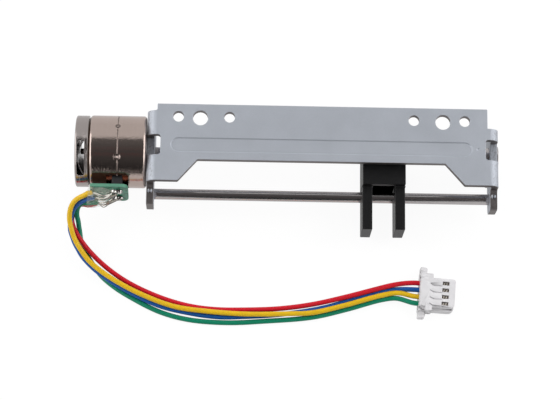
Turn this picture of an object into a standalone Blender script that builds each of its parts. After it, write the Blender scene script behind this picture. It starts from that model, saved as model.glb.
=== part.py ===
"""Small linear slide: a 10 mm claw-pole stepper motor turns a lead screw in a folded steel bracket,
and the screw moves a two-armed plastic slider along a guide rod.

Sizes are in millimetres here and become metres where a mesh is made. They are measured from the
screw's axis (y and z) and from the outer face of the bracket's motor end (x): +X runs along the
screw from the motor to the far end, +Y points away from the guide rod, +Z out of the plate.
"""
import math

import bmesh
import bpy
from mathutils import Matrix, Vector

MM = 0.001

# Clearances
SEAT = 0.03            # between pieces that are pressed or glued together
RUN = 0.04             # round a shaft that turns or slides
PAST = 1.0             # how far a cutter runs past what it cuts

# Facets of a full turn
FINE = 48
MID = 24
COARSE = 12

# Bracket
SHEET = 1.0            # thickness of the steel
BRACKET_LONG = 48.39   # over the outer faces of both ends
PLATE_TOP = 4.5        # outer face of the plate above the axis
BEND_OUT = 1.3         # outer radius of the two bends
BEND_STEPS = 6
FLOOR = -5.0           # lower edge of both ends, level with the motor's can
EDGE_BACK = 5.8        # the plate's long straight edge
EDGE_MIDDLE = -2.07    # the cut-away edge between the ends
EDGE_ENDS = -5.06      # the plate's edge beside each end
WIDE_PART_IN = (1.35, 1.55)  # the plate's full width starts this far in from each end
PLATE_MIDDLE = BRACKET_LONG / 2 - 0.215  # centre of the hole pattern along x
SLOPE_INNER = 17.03    # from that centre to the top of each slope
SLOPE_OUTER = 19.7     # and to its foot
NOTCH_MOTOR = 4.86     # the motor end is cut back to here
NOTCH_FAR = 3.05       # and the far end to here
END_SIDE = -3.3        # the ends' other side, below the tongues
END_CORNER = 1.6       # radius of the ends' lower corners
TONGUE_END = -7.8      # tip of the tongues that hold the guide rod
TONGUE_TOP = 1.9
TONGUE_LOW = -1.5
TONGUE_FILLET = 0.5
TONGUE_TIP_MOTOR = 0.15 # radius of the tongues' corners at the motor
TONGUE_TIP_FAR = 0.6
SMALL_HOLE = 1.5       # diameters and places of the mounting holes
LARGE_HOLE = 2.1
SMALL_HOLE_Y = 4.0
LARGE_HOLE_Y = 3.83
HOLES_OUT = (12.70, 16.70, 19.71)
WINDOW_HALF = 1.41     # windows in the two bends
WINDOW_LOW = 2.4
WINDOW_IN = 1.85       # how far a window reaches in from the end's outer face
WINDOW_CORNER = 0.35
BEAD_HALF_LONG = 20.73
BEAD_RADIUS = 1.02
BEAD_DEEP = 0.16
BEAD_SLOPE = 0.14
BEAD_GROW = 0.3        # how much wider it is on the plate's back
PUNCH_X = BRACKET_LONG - 2.89
PUNCH_RADIUS = 0.2
STAKE_RADIUS = 0.32    # dents that lock the guide rod in the tongues

# Guide rod
ROD = 1.5
ROD_Y = -5.93

# Motor, its layers measured inwards from the can
CAN = 10.0             # outer diameter
CAN_WALL = 0.35
CAN_FRONT = -0.12      # end walls of the two cups, and the seam between them
CAN_SEAM = -4.0
CAN_REAR = -7.9
CAN_RIM = 0.35         # radius of the outer edges
YOKE_RADIUS = CAN / 2 - CAN_WALL - 0.05
YOKE_THICK = 0.28
BOBBIN_RADIUS = CAN / 2 - CAN_WALL - 0.25
BOBBIN_WALL = 0.28
COIL_RADIUS = BOBBIN_RADIUS - 0.25
COIL_DEEP = 0.69
BOBBIN_BORE = COIL_RADIUS - COIL_DEEP - SEAT - BOBBIN_WALL
POLE_OUT = BOBBIN_BORE - 0.05  # claw teeth, outer radius
POLE_WALL = 0.25
POLE_LONG = 2.95
POLE_PAIRS = 5
POLE_ROOT = math.radians(15)
POLE_TIP = math.radians(9)
AIR_GAP = 0.25         # between the claw teeth and the magnet
MAGNET_RADIUS = POLE_OUT - POLE_WALL - AIR_GAP
MAGNET_LONG = 5.6
MAGNET_START = -6.8
HUB_RADIUS = 1.25

# Lead screw, from the motor's rear to the far end
SCREW = 2.0            # over the thread
JOURNAL = 1.5
REAR_PIVOT = 0.8
END_PIVOT = 1.0
PIVOT_SHOULDER = -7.2
THREAD_START = 2.1
THREAD_END = BRACKET_LONG - 1.7
SCREW_TIP = BRACKET_LONG - 0.3

# Bearings
BUSH_RADIUS = 1.5
BUSH_COLLAR = 2.4
BUSH_COLLAR_THICK = 0.4
REAR_PLATE_RADIUS = 4.3
REAR_PLATE_THICK = 0.45
END_BODY = 1.45
END_COLLAR = 1.7
END_COLLAR_THICK = 0.27
END_INNER = BRACKET_LONG - 1.5

# Rear end cap and its leaf spring
CAP_RADIUS = 4.95
CAP_WALL = 0.3
CAP_REAR = -9.85
CAP_FRONT = CAN_REAR - 0.15
CAP_SLOT_HALF = 2.5    # slots in the skirt, beside the end wall
CAP_SLOT_LONG = 1.0
CAP_SLOT_CORNER = 0.3
CAP_TURN = math.radians(27)
SPRING_THICK = 0.15
SPRING_HALF_WIDE = 4.2
SPRING_HALF_LONG = 2.3
SPRING_BOW = 0.8
SPRING_STEPS = 12
SPRING_MIDDLE = CAP_REAR + CAP_WALL + SEAT + SPRING_THICK
SCREW_REAR = SPRING_MIDDLE + RUN

# Terminals: their direction leans from -Y towards +Z
TERMINAL_LEAN = math.radians(12)
TERMINAL_X = -4.02
CAN_WINDOW_HALF_X = 1.5
CAN_WINDOW_HALF = 1.95
BLOCK_HALF_X = 0.72
BLOCK_HALF = 1.55
BLOCK_FOOT = 4.48
BOARD_INNER = 6.0
BOARD_THICK = 0.5
BOARD_REAR = -7.67
BOARD_FRONT = -2.47
BOARD_HALF = 2.2
BOARD_CORNER = 0.6
PIN = 0.3
PIN_STEP_X = 0.76
PIN_STEP = 2.0
PIN_FOOT = 4.9
PIN_OUT = 0.5
SOLDER_RADIUS = 0.42
SOLDER_HIGH = 0.42

# Drop of hot glue over the wires' joints
GLUE_REAR = -8.0
GLUE_FRONT = -4.8
GLUE_MIDDLE = -0.15
GLUE_HALF = 2.25
GLUE_HIGH = 1.55
GLUE_SIDES = 16

# Slider
SLIDER_REAR = 29.77
SLIDER_FRONT = 35.69
SLIDER_TOP = 2.6
SLIDER_LOW = -3.7
SLIDER_BACK = 2.3      # its side away from the guide rod
SLIDER_SHOULDER = 1.1
SLIDER_FACE = -4.6     # where the arms leave the block
ARM_WIDE = 1.38
ARM_TOP = 1.5
ARM_END = -10.75
ARM_ROOT = 0.5         # how far the arms reach into the block

# Wires and their plug
WIRE = 0.6             # bare tube that stands for a 0.7 mm wire
WIRE_STEP = 1.25
PLUG_AT = (38.01, -18.57)
PLUG_TURN = math.radians(-3.9)
PLUG_PITCH = 0.95
PLUG_LONG = 4.95
PLUG_HALF = 2.35        # up to the ledge along its sides
PLUG_LEDGE = 1.45
PLUG_TOP_HALF = 1.93    # above the ledge
PLUG_HIGH = 2.6
PLUG_CORNER = 0.7
PLUG_EDGE = 0.15        # radius of its other corners
SHOULDER_LONG = 1.85
SHOULDER_SIDES = (-2.5, 2.86)
SHOULDER_HIGH = 1.9
LUG = ((0.88, 1.8), (-2.55, -1.6))
LUG_HIGH = 2.72
EAR_LONG = 1.0
EAR_SIDES = (-3.45, 3.73)
EAR_HIGH = 1.5
CAVITY_WIDE = 0.7
CAVITY_LOW = 0.7
CAVITY_HIGH = 1.9
CAVITY_START = 0.9
WIRE_HOLE = 0.8
WIRE_IN = 0.45          # how far the wires reach into it
VIEW_START = 3.1        # the windows over the contacts
VIEW_END = 4.05
VIEW_HALF = 0.26
LANCE_START = 1.4       # kinked slots that free a latch over each contact
LANCE_KINK = 1.84
LANCE_SIDE = (-0.1, -0.38)
LANCE_WIDE = 0.14
LANCE_DEEP = 0.3
CONTACT_START = 2.6
CONTACT_BACK = 0.2      # how far the contacts stay inside the mating face
CONTACT_SHEET = 0.1
CRIMP_START = 1.1
CRIMP_RADIUS = 0.27

# Each wire's route, chosen point by point, from the glue to the plug
ROUTES = {
    "wire_yellow": [
        (-8.14, -6.71, 2.43), (-8.5, -6.85, 2.15), (-9.26, -7.1, 1.65), (-9.89, -7.5, 1.15),
        (-10.26, -7.99, 0.65), (-10.48, -8.59, 0.15), (-10.56, -9.29, -0.35), (-10.48, -10.08, -0.85),
        (-10.26, -10.88, -1.3), (-10.04, -11.62, -1.75), (-9.67, -12.37, -2.1), (-9.17, -13.17, -2.4),
        (-7.9, -14.81, -2.9), (-6.15, -16.25, -3.2), (-3.57, -17.85, -3.45), (-0.28, -19.44, -3.65),
        (4.0, -20.94, -3.8), (8.64, -21.54, -3.9), (13.97, -21.84, -3.9), (20.05, -21.69, -3.95),
        (23.24, -21.49, -3.95), (27.97, -20.31, -3.9), (32.73, -18.94, -3.8), (35.12, -18.55, -3.75),
        (37.31, -19.0, -3.71), (38.46, -19.07, -3.7)],
    "wire_blue": [
        (-8.14, -7.23, 1.5), (-8.54, -7.3, 1.15), (-9.21, -7.55, 0.65), (-9.72, -7.89, 0.1),
        (-10.15, -8.39, -0.45), (-10.36, -9.04, -1.0), (-10.49, -9.88, -1.55), (-10.47, -10.83, -2.0),
        (-10.19, -11.62, -2.45), (-9.88, -12.41, -2.8), (-9.38, -13.26, -3.1), (-8.82, -14.15, -3.35),
        (-7.32, -15.69, -3.7), (-5.27, -17.19, -3.95), (-2.0, -19.03, -4.15), (1.99, -20.78, -4.35),
        (5.97, -21.68, -4.5), (10.0, -22.17, -4.6), (13.98, -22.07, -4.6), (19.27, -21.62, -4.65),
        (24.54, -20.72, -4.6), (29.66, -19.23, -4.45), (34.37, -18.05, -4.2), (37.37, -18.05, -3.71),
        (38.52, -18.13, -3.7)],
    "wire_green": [
        (-8.22, -7.51, 0.6), (-8.54, -7.45, 0.35), (-9.06, -7.49, -0.15), (-9.42, -7.79, -0.65),
        (-9.6, -8.24, -1.2), (-9.62, -8.83, -1.7), (-9.44, -9.48, -2.25), (-9.37, -10.07, -2.75),
        (-9.24, -10.77, -3.2), (-9.13, -11.61, -3.6), (-8.88, -12.45, -3.85), (-8.52, -13.2, -4.1),
        (-7.52, -14.84, -4.4), (-6.23, -16.58, -4.6), (-4.34, -18.17, -4.65), (-2.07, -19.57, -4.65),
        (2.0, -21.57, -4.65), (6.03, -22.62, -4.65), (11.35, -22.97, -4.65), (16.63, -22.67, -4.65),
        (23.24, -22.02, -4.6), (28.02, -20.85, -4.5), (32.79, -19.48, -4.25), (34.88, -19.24, -4.1),
        (37.24, -19.94, -3.71), (38.39, -20.02, -3.7)],
    "wire_red": [
        (-8.24, -7.54, -0.4), (-8.48, -7.44, -0.6), (-9.05, -7.34, -1.0), (-9.63, -7.59, -1.35),
        (-10.06, -8.14, -1.7), (-10.3, -8.83, -2.0), (-10.29, -9.63, -2.3), (-9.93, -10.62, -2.55),
        (-9.37, -11.57, -2.8), (-8.82, -12.26, -3.1), (-8.21, -13.01, -3.35), (-6.71, -14.49, -3.85),
        (-4.81, -16.04, -4.15), (-2.12, -17.73, -4.4), (1.95, -19.52, -4.55), (5.98, -20.67, -4.6),
        (9.66, -21.12, -4.6), (13.94, -21.12, -4.6), (18.71, -20.87, -4.55), (23.24, -20.23, -4.4),
        (27.91, -19.15, -4.1), (31.94, -18.06, -3.9), (34.27, -17.46, -3.8), (36.06, -17.17, -3.75),
        (37.44, -17.1, -3.71), (38.59, -17.18, -3.7)],
}

# Colours, roughness and metal share
FINISHES = {
    "zinc_steel": ((0.38, 0.41, 0.45), 0.45, 0.9),
    "bright_steel": ((0.45, 0.44, 0.45), 0.22, 1.0),
    "nickel": ((0.62, 0.55, 0.5), 0.18, 1.0),
    "black_acetal": ((0.012, 0.012, 0.013), 0.45, 0.0),
    "ferrite": ((0.04, 0.04, 0.045), 0.6, 0.2),
    "brass": ((0.6, 0.42, 0.18), 0.3, 1.0),
    "bearing_plastic": ((0.2, 0.15, 0.11), 0.5, 0.0),
    "black_plastic": ((0.02, 0.02, 0.022), 0.5, 0.0),
    "copper": ((0.5, 0.18, 0.07), 0.35, 1.0),
    "board_green": ((0.02, 0.2, 0.11), 0.4, 0.0),
    "solder": ((0.65, 0.65, 0.66), 0.2, 1.0),
    "glue": ((0.45, 0.45, 0.4), 0.25, 0.0),
    "white_plastic": ((0.8, 0.79, 0.8), 0.45, 0.0),
    "contact_tin": ((0.3, 0.25, 0.18), 0.3, 1.0),
    "yellow_jacket": ((0.75, 0.45, 0.03), 0.4, 0.0),
    "blue_jacket": ((0.02, 0.08, 0.4), 0.4, 0.0),
    "green_jacket": ((0.01, 0.22, 0.12), 0.4, 0.0),
    "red_jacket": ((0.6, 0.02, 0.03), 0.4, 0.0),
}


# Helpers

def clear_scene():
    for thing in list(bpy.data.objects):
        bpy.data.objects.remove(thing, do_unlink=True)


def finish(name):
    """The named material, made the first time it is asked for."""
    found = bpy.data.materials.get(name)
    if found:
        return found
    colour, rough, metal = FINISHES[name]
    made = bpy.data.materials.new(name)
    made.use_nodes = True
    shader = made.node_tree.nodes["Principled BSDF"]
    shader.inputs["Base Color"].default_value = (*colour, 1.0)
    shader.inputs["Roughness"].default_value = rough
    shader.inputs["Metallic"].default_value = metal
    return made


def add(name, mesh, look=None, smooth=False):
    """An object under the slide's empty; without a look it is a hidden cutter."""
    thing = bpy.data.objects.new(name, mesh)
    bpy.context.collection.objects.link(thing)
    thing.parent = FRAME
    if look is None:
        thing.hide_render = True
        thing.display_type = "WIRE"
    else:
        mesh.materials.append(finish(look))
    if smooth:
        mesh.shade_smooth()
        mesh.set_sharp_from_angle(angle=math.radians(40))
    return thing


def to_mesh(name, bm):
    bmesh.ops.remove_doubles(bm, verts=bm.verts, dist=1e-5 * MM)
    bmesh.ops.recalc_face_normals(bm, faces=bm.faces)
    mesh = bpy.data.meshes.new(name)
    bm.to_mesh(mesh)
    bm.free()
    return mesh


def prism(name, outline, low, high, axis="Z", turn=None):
    """A closed outline extruded from low to high along an axis. The outline is in (x, y) for
    Z, (x, z) for Y and (y, z) for X; turn is a matrix in millimetres applied last."""
    place = {"X": lambda a, b, c: (c, a, b), "Y": lambda a, b, c: (a, c, b), "Z": lambda a, b, c: (a, b, c)}[axis]
    bm = bmesh.new()
    corners = [bm.verts.new(place(a, b, low)) for a, b in outline]
    face = bm.faces.new(corners)
    grown = bmesh.ops.extrude_face_region(bm, geom=[face])["geom"]
    moved = [v for v in grown if isinstance(v, bmesh.types.BMVert)]
    bmesh.ops.translate(bm, verts=moved, vec=Vector(place(0, 0, high - low)))
    matrix = Matrix.Scale(MM, 4) @ (turn or Matrix())
    bmesh.ops.transform(bm, matrix=matrix, verts=bm.verts)
    return to_mesh(name, bm)


def turned(name, profile, steps=MID, turn=None):
    """A closed profile of (x, radius) points spun once round the X axis."""
    bm = bmesh.new()
    ring = [bm.verts.new((x, 0.0, r)) for x, r in profile]
    edges = [bm.edges.new((a, b)) for a, b in zip(ring, ring[1:] + ring[:1])]
    bmesh.ops.spin(bm, geom=ring + edges, cent=(0, 0, 0), axis=(1, 0, 0), angle=math.tau, steps=steps,
                   use_merge=True, use_duplicate=False)
    bmesh.ops.remove_doubles(bm, verts=bm.verts, dist=1e-4)
    flat = [f for f in bm.faces if f.calc_area() < 1e-9]
    bmesh.ops.delete(bm, geom=flat, context="FACES")
    bmesh.ops.transform(bm, matrix=Matrix.Scale(MM, 4) @ (turn or Matrix()), verts=bm.verts)
    return to_mesh(name, bm)


def lofted(name, loops, turn=None):
    """A skin over loops of equal length, closed at both ends."""
    bm = bmesh.new()
    rings = [[bm.verts.new(p) for p in loop] for loop in loops]
    for one, two in zip(rings, rings[1:]):
        for i in range(len(one)):
            j = (i + 1) % len(one)
            bm.faces.new((one[i], one[j], two[j], two[i]))
    bm.faces.new(rings[0])
    bm.faces.new(list(reversed(rings[-1])))
    bmesh.ops.transform(bm, matrix=Matrix.Scale(MM, 4) @ (turn or Matrix()), verts=bm.verts)
    return to_mesh(name, bm)


def cut(thing, name, mesh, operation="DIFFERENCE"):
    """Gives thing a Boolean with a hidden cutter, and returns the cutter."""
    tool = add(name, mesh)
    change = thing.modifiers.new(name, "BOOLEAN")
    change.operation = operation
    change.solver = "EXACT"
    change.object = tool
    return tool


def joined_mesh(name, meshes):
    """Several closed shapes that don't touch, in one cutter's mesh."""
    bm = bmesh.new()
    for part in meshes:
        bm.from_mesh(part)
        bpy.data.meshes.remove(part)
    mesh = bpy.data.meshes.new(name)
    bm.to_mesh(mesh)
    bm.free()
    return mesh


def rounded(corners, radii, steps=5):
    """The outline with each corner replaced by an arc of its radius; 0 keeps it sharp."""
    out = []
    count = len(corners)
    for i, radius in enumerate(radii):
        here = Vector(corners[i])
        before = (Vector(corners[i - 1]) - here).normalized()
        after = (Vector(corners[(i + 1) % count]) - here).normalized()
        if radius <= 0:
            out.append(tuple(here))
            continue
        half = before.angle(after) / 2
        centre = here + (before + after).normalized() * radius / math.sin(half)
        first = here + before * radius / math.tan(half) - centre
        last = here + after * radius / math.tan(half) - centre
        sweep = first.angle_signed(last)
        for k in range(steps + 1):
            spoke = first.copy()
            spoke.rotate(Matrix.Rotation(-sweep * k / steps, 2))
            out.append(tuple(centre + spoke))
    return out


def circle(x, y, radius, steps=MID):
    return [(x + radius * math.cos(math.tau * i / steps), y + radius * math.sin(math.tau * i / steps))
            for i in range(steps)]


def box(x0, x1, y0, y1):
    return [(x0, y0), (x1, y0), (x1, y1), (x0, y1)]


def terminal_frame():
    """Turns +Z to the direction in which the terminals leave the motor, and +Y to the side."""
    return Matrix.Rotation(math.pi / 2 - TERMINAL_LEAN, 4, "X")


def smooth_route(points, step):
    """Points about step apart on a centripetal Catmull-Rom curve through the given ones."""
    knots = [Vector(p) for p in points]
    knots = [2 * knots[0] - knots[1]] + knots + [2 * knots[-1] - knots[-2]]
    dense = []
    for p0, p1, p2, p3 in zip(knots, knots[1:], knots[2:], knots[3:]):
        t1 = (p1 - p0).length ** 0.5
        t2 = t1 + (p2 - p1).length ** 0.5
        t3 = t2 + (p3 - p2).length ** 0.5
        for k in range(16):
            t = t1 + (t2 - t1) * k / 16
            a1 = p0.lerp(p1, t / t1)
            a2 = p1.lerp(p2, (t - t1) / (t2 - t1))
            a3 = p2.lerp(p3, (t - t2) / (t3 - t2))
            b1 = a1.lerp(a2, t / t2)
            b2 = a2.lerp(a3, (t - t1) / (t3 - t1))
            dense.append(b1.lerp(b2, (t - t1) / (t2 - t1)))
    dense.append(knots[-2])
    along = [0.0]
    for one, two in zip(dense, dense[1:]):
        along.append(along[-1] + (two - one).length)
    count = round(along[-1] / step)
    out, k = [], 0
    for i in range(count + 1):
        want = along[-1] * i / count
        while k < len(along) - 2 and along[k + 1] < want:
            k += 1
        out.append(dense[k].lerp(dense[k + 1], (want - along[k]) / (along[k + 1] - along[k])))
    return out


# Bracket

def bent_strip():
    """The side view of the plate with both ends folded down, in (x, z)."""
    inner = BEND_OUT - SHEET
    outer = [(0, FLOOR), (0, PLATE_TOP), (BRACKET_LONG, PLATE_TOP), (BRACKET_LONG, FLOOR)]
    inside = [(BRACKET_LONG - SHEET, FLOOR), (BRACKET_LONG - SHEET, PLATE_TOP - SHEET), (SHEET, PLATE_TOP - SHEET),
              (SHEET, FLOOR)]
    return rounded(outer + inside, [0, BEND_OUT, BEND_OUT, 0, 0, inner, inner, 0], BEND_STEPS)


def plate_outline():
    """What the bracket covers seen from above, a little past the ends' outer faces. Over the
    tongues it covers the ends' own width, and trim_end takes away the bend there."""
    left = BEND_OUT
    right = BRACKET_LONG - BEND_OUT
    wide_left, wide_right = WIDE_PART_IN[0], BRACKET_LONG - WIDE_PART_IN[1]
    inner, outer = PLATE_MIDDLE - SLOPE_INNER, PLATE_MIDDLE - SLOPE_OUTER
    inner_far, outer_far = PLATE_MIDDLE + SLOPE_INNER, PLATE_MIDDLE + SLOPE_OUTER
    points = [(-PAST, TONGUE_END), (left, TONGUE_END), (left, EDGE_ENDS), (outer, EDGE_ENDS), (inner, EDGE_MIDDLE),
              (inner_far, EDGE_MIDDLE), (outer_far, EDGE_ENDS), (right, EDGE_ENDS), (right, TONGUE_END),
              (BRACKET_LONG + PAST, TONGUE_END), (BRACKET_LONG + PAST, NOTCH_FAR),
              (wide_right, NOTCH_FAR), (wide_right, EDGE_BACK), (wide_left, EDGE_BACK), (wide_left, NOTCH_MOTOR),
              (-PAST, NOTCH_MOTOR)]
    radii = [0, 0, 0, 0.2, 0.2, 0.2, 0.2, 0, 0, 0, 0, 0, 0.12, 0.12, 0.2, 0]
    return rounded(points, radii, 3)


def end_outline(notch, tip_radius):
    """An end seen along the screw, in (y, z), with the tongue for the guide rod."""
    points = [(notch + PAST, PLATE_TOP + PAST), (EDGE_ENDS, PLATE_TOP + PAST), (EDGE_ENDS, TONGUE_TOP),
              (TONGUE_END, TONGUE_TOP), (TONGUE_END, TONGUE_LOW), (END_SIDE, TONGUE_LOW), (END_SIDE, FLOOR),
              (notch, FLOOR), (notch, 0), (notch + PAST, 0)]
    radii = [0, 0, TONGUE_FILLET, tip_radius, tip_radius, TONGUE_FILLET, END_CORNER, END_CORNER, 0, 0]
    return rounded(points, radii)


def trim_end(bracket, name, x_outer, x_inner, notch, tip_radius):
    """Cuts an end of the folded strip down to its outline."""
    low, high = min(x_outer, x_inner), max(x_outer, x_inner)
    around = box(TONGUE_END - PAST, notch + PAST / 2, FLOOR - PAST, PLATE_TOP + PAST / 2)
    waste = cut(bracket, name + "_waste", prism(name + "_waste", around, low, high, "X"))
    cut(waste, name + "_kept", prism(name + "_kept", end_outline(notch, tip_radius), low - PAST, high + PAST, "X"))


def obround(half_long, radius):
    middle = half_long - radius
    right = [(PLATE_MIDDLE + middle + radius * math.cos(a), radius * math.sin(a))
             for a in (math.pi * (k / 8 - 0.5) for k in range(9))]
    left = [(PLATE_MIDDLE - middle - radius * math.cos(a), -radius * math.sin(a))
            for a in (math.pi * (k / 8 - 0.5) for k in range(9))]
    return right + left


def bead(name, top, low, grow):
    """A shallow trough with sloping sides, from its rim at top to its floor at low."""
    rim = [(x, y, top) for x, y in obround(BEAD_HALF_LONG + grow, BEAD_RADIUS + grow)]
    foot = [(x, y, low) for x, y in obround(BEAD_HALF_LONG + grow - BEAD_SLOPE, BEAD_RADIUS + grow - BEAD_SLOPE)]
    return lofted(name, [rim, foot])


def dent(name, centre, radius, deep):
    """A cone standing on its point, to press a round mark into a face that looks up."""
    x, y, z = centre
    wide = [(x + radius * 1.5 * math.cos(a), y + radius * 1.5 * math.sin(a), z + deep / 2)
            for a in (math.tau * k / COARSE for k in range(COARSE))]
    point = [(x + 0.1 * radius * math.cos(a), y + 0.1 * radius * math.sin(a), z - deep)
             for a in (math.tau * k / COARSE for k in range(COARSE))]
    return lofted(name, [wide, point])


def make_bracket():
    bracket = add("bracket", prism("bracket", bent_strip(), TONGUE_END - PAST, EDGE_BACK + PAST, "Y"), "zinc_steel")
    cut(bracket, "plate_edge", prism("plate_edge", plate_outline(), FLOOR - PAST, PLATE_TOP + PAST), "INTERSECT")
    far_inner = BRACKET_LONG - SHEET
    reach = BEND_OUT + PAST / 10
    trim_end(bracket, "motor_end", -PAST, reach, NOTCH_MOTOR, TONGUE_TIP_MOTOR)
    trim_end(bracket, "far_end", BRACKET_LONG + PAST, BRACKET_LONG - reach, NOTCH_FAR, TONGUE_TIP_FAR)

    holes = []
    for out in HOLES_OUT:
        large = out == HOLES_OUT[1]
        radius = (LARGE_HOLE if large else SMALL_HOLE) / 2
        y = LARGE_HOLE_Y if large else SMALL_HOLE_Y
        for x in (PLATE_MIDDLE - out, PLATE_MIDDLE + out):
            holes.append(prism("hole", circle(x, y, radius), PLATE_TOP - SHEET - PAST, PLATE_TOP + PAST))
    for x0, x1 in ((-PAST, WINDOW_IN), (BRACKET_LONG - WINDOW_IN, BRACKET_LONG + PAST)):
        corners = box(x0, x1, -WINDOW_HALF, WINDOW_HALF)
        radii = [0, WINDOW_CORNER, WINDOW_CORNER, 0] if x0 < 0 else [WINDOW_CORNER, 0, 0, WINDOW_CORNER]
        holes.append(prism("window", rounded(corners, radii, 3), WINDOW_LOW, PLATE_TOP + PAST))
    cut(bracket, "plate_holes", joined_mesh("plate_holes", holes))

    bores = [prism("rod_bore", circle(ROD_Y, 0, ROD / 2 + SEAT), -PAST, BRACKET_LONG + PAST, "X"),
             prism("motor_bore", circle(0, 0, BUSH_RADIUS + SEAT), -PAST, SHEET + PAST, "X"),
             prism("far_bore", circle(0, 0, END_BODY + SEAT), far_inner - PAST, BRACKET_LONG + PAST, "X")]
    cut(bracket, "end_bores", joined_mesh("end_bores", bores))

    slope = BEAD_SLOPE / BEAD_DEEP
    cut(bracket, "bead_back", bead("bead_back", PLATE_TOP - SHEET + BEAD_DEEP, PLATE_TOP - SHEET - BEAD_DEEP, BEAD_GROW),
        "UNION")
    cut(bracket, "bead_face", bead("bead_face", PLATE_TOP + BEAD_DEEP, PLATE_TOP - BEAD_DEEP, BEAD_SLOPE * slope / 2))
    marks = [dent("punch", (PUNCH_X, 0.05, PLATE_TOP), PUNCH_RADIUS, 0.15)]
    for x in (SHEET / 2, BRACKET_LONG - SHEET / 2):
        marks.append(dent("stake", (x, ROD_Y, TONGUE_TOP), STAKE_RADIUS, 0.3))
    cut(bracket, "dents", joined_mesh("dents", marks))
    return bracket


# Screw, rod and bearings

def make_screw():
    tip = 0.12
    rear, pivot, journal, thread = REAR_PIVOT / 2, END_PIVOT / 2, JOURNAL / 2, SCREW / 2
    profile = [(SCREW_REAR, 0), (SCREW_REAR, rear - tip), (SCREW_REAR + tip, rear), (PIVOT_SHOULDER, rear),
               (PIVOT_SHOULDER, journal), (THREAD_START, journal), (THREAD_START + 0.25, thread),
               (THREAD_END - 0.25, thread), (THREAD_END, pivot + 0.15), (THREAD_END, pivot),
               (SCREW_TIP - tip, pivot), (SCREW_TIP, pivot - tip), (SCREW_TIP, 0)]
    return add("lead_screw", turned("lead_screw", profile), "bright_steel", True)


def make_rod():
    end, edge = BRACKET_LONG - 0.05, 0.1
    r = ROD / 2
    profile = [(0.05, 0), (0.05, r - edge), (0.05 + edge, r), (end - edge, r), (end, r - edge), (end, 0)]
    place = Matrix.Translation((0, ROD_Y, 0))
    return add("guide_rod", turned("guide_rod", profile, turn=place), "bright_steel", True)


def make_bearings():
    """Bush in the motor end, plate at the motor's rear, cup at the far end."""
    bore = JOURNAL / 2 + RUN
    collar = -SEAT - BUSH_COLLAR_THICK
    profile = [(collar, bore), (collar, BUSH_COLLAR), (-SEAT, BUSH_COLLAR), (-SEAT, BUSH_RADIUS),
               (SHEET + 0.05, BUSH_RADIUS), (SHEET + 0.05, bore + 0.1), (SHEET - 0.05, bore)]
    add("front_bearing", turned("front_bearing", profile), "nickel", True)

    bore = REAR_PIVOT / 2 + RUN
    outer = CAN_REAR - SEAT
    boss = POLE_OUT - POLE_WALL - SEAT
    profile = [(outer - REAR_PLATE_THICK, bore), (outer - REAR_PLATE_THICK, REAR_PLATE_RADIUS - 0.15),
               (outer - REAR_PLATE_THICK + 0.15, REAR_PLATE_RADIUS), (outer, REAR_PLATE_RADIUS), (outer, boss),
               (PIVOT_SHOULDER - RUN - SEAT, boss), (PIVOT_SHOULDER - RUN - SEAT, bore)]
    add("rear_bearing", turned("rear_bearing", profile), "bearing_plastic", True)

    bore = END_PIVOT / 2 + RUN
    inside = BRACKET_LONG + SEAT
    outside = inside + END_COLLAR_THICK
    profile = [(END_INNER, bore), (END_INNER, END_BODY - 0.1), (END_INNER + 0.1, END_BODY), (inside, END_BODY),
               (inside, END_COLLAR), (outside - 0.12, END_COLLAR), (outside, END_COLLAR - 0.12), (outside, 0),
               (SCREW_TIP + RUN, 0), (SCREW_TIP + RUN, bore)]
    add("end_bearing", turned("end_bearing", profile), "bright_steel", True)


# Motor

def tooth_gaps(name, x_root, x_tip, first):
    """The spaces between the claw teeth: wedges that widen towards the teeth's tips."""
    pitch = math.tau / POLE_PAIRS
    inner, outer = POLE_OUT - POLE_WALL - 0.3, POLE_OUT + 0.3
    wedges = []
    past = 0.15 if x_tip > x_root else -0.15
    for k in range(POLE_PAIRS):
        middle = first + pitch * (k + 0.5)
        loops = []
        for x, half in ((x_root, pitch / 2 - POLE_ROOT), (x_tip + past, pitch / 2 - POLE_TIP)):
            turns = [middle - half + 2 * half * i / 4 for i in range(5)]
            far = [(x, outer * math.cos(a), outer * math.sin(a)) for a in turns]
            near = [(x, inner * math.cos(a), inner * math.sin(a)) for a in reversed(turns)]
            loops.append(far + near)
        wedges.append(lofted("wedge", loops))
    return joined_mesh(name, wedges)


def can_window(name):
    """The opening that the terminal block comes out of, across both cups."""
    shape = box(TERMINAL_X - CAN_WINDOW_HALF_X, TERMINAL_X + CAN_WINDOW_HALF_X, -CAN_WINDOW_HALF, CAN_WINDOW_HALF)
    return prism(name, shape, POLE_OUT + 0.4, CAN / 2 + PAST, "Z", terminal_frame())


def make_cup(name, x_end, x_seam, first):
    """A drawn cup with claw teeth bent in from its end wall, open at the seam."""
    way = 1 if x_seam > x_end else -1
    r = CAN / 2
    rim = [(x_end + way * CAN_RIM * (1 - math.sin(a)), r - CAN_RIM * (1 - math.cos(a)))
           for a in (math.pi / 2 * (3 - k) / 3 for k in range(4))]
    edge = 0.06
    teeth = x_end + way * (CAN_WALL + POLE_LONG)
    profile = rim + [(x_seam - way * edge, r), (x_seam, r - edge), (x_seam, r - CAN_WALL),
                     (x_end + way * CAN_WALL, r - CAN_WALL), (x_end + way * CAN_WALL, POLE_OUT), (teeth, POLE_OUT),
                     (teeth, POLE_OUT - POLE_WALL), (x_end, POLE_OUT - POLE_WALL)]
    cup = add(name, turned(name, profile, FINE), "nickel", True)
    cut(cup, name + "_gaps", tooth_gaps(name + "_gaps", x_end + way * CAN_WALL, teeth, first))
    cut(cup, name + "_window", can_window(name + "_window"))


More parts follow.
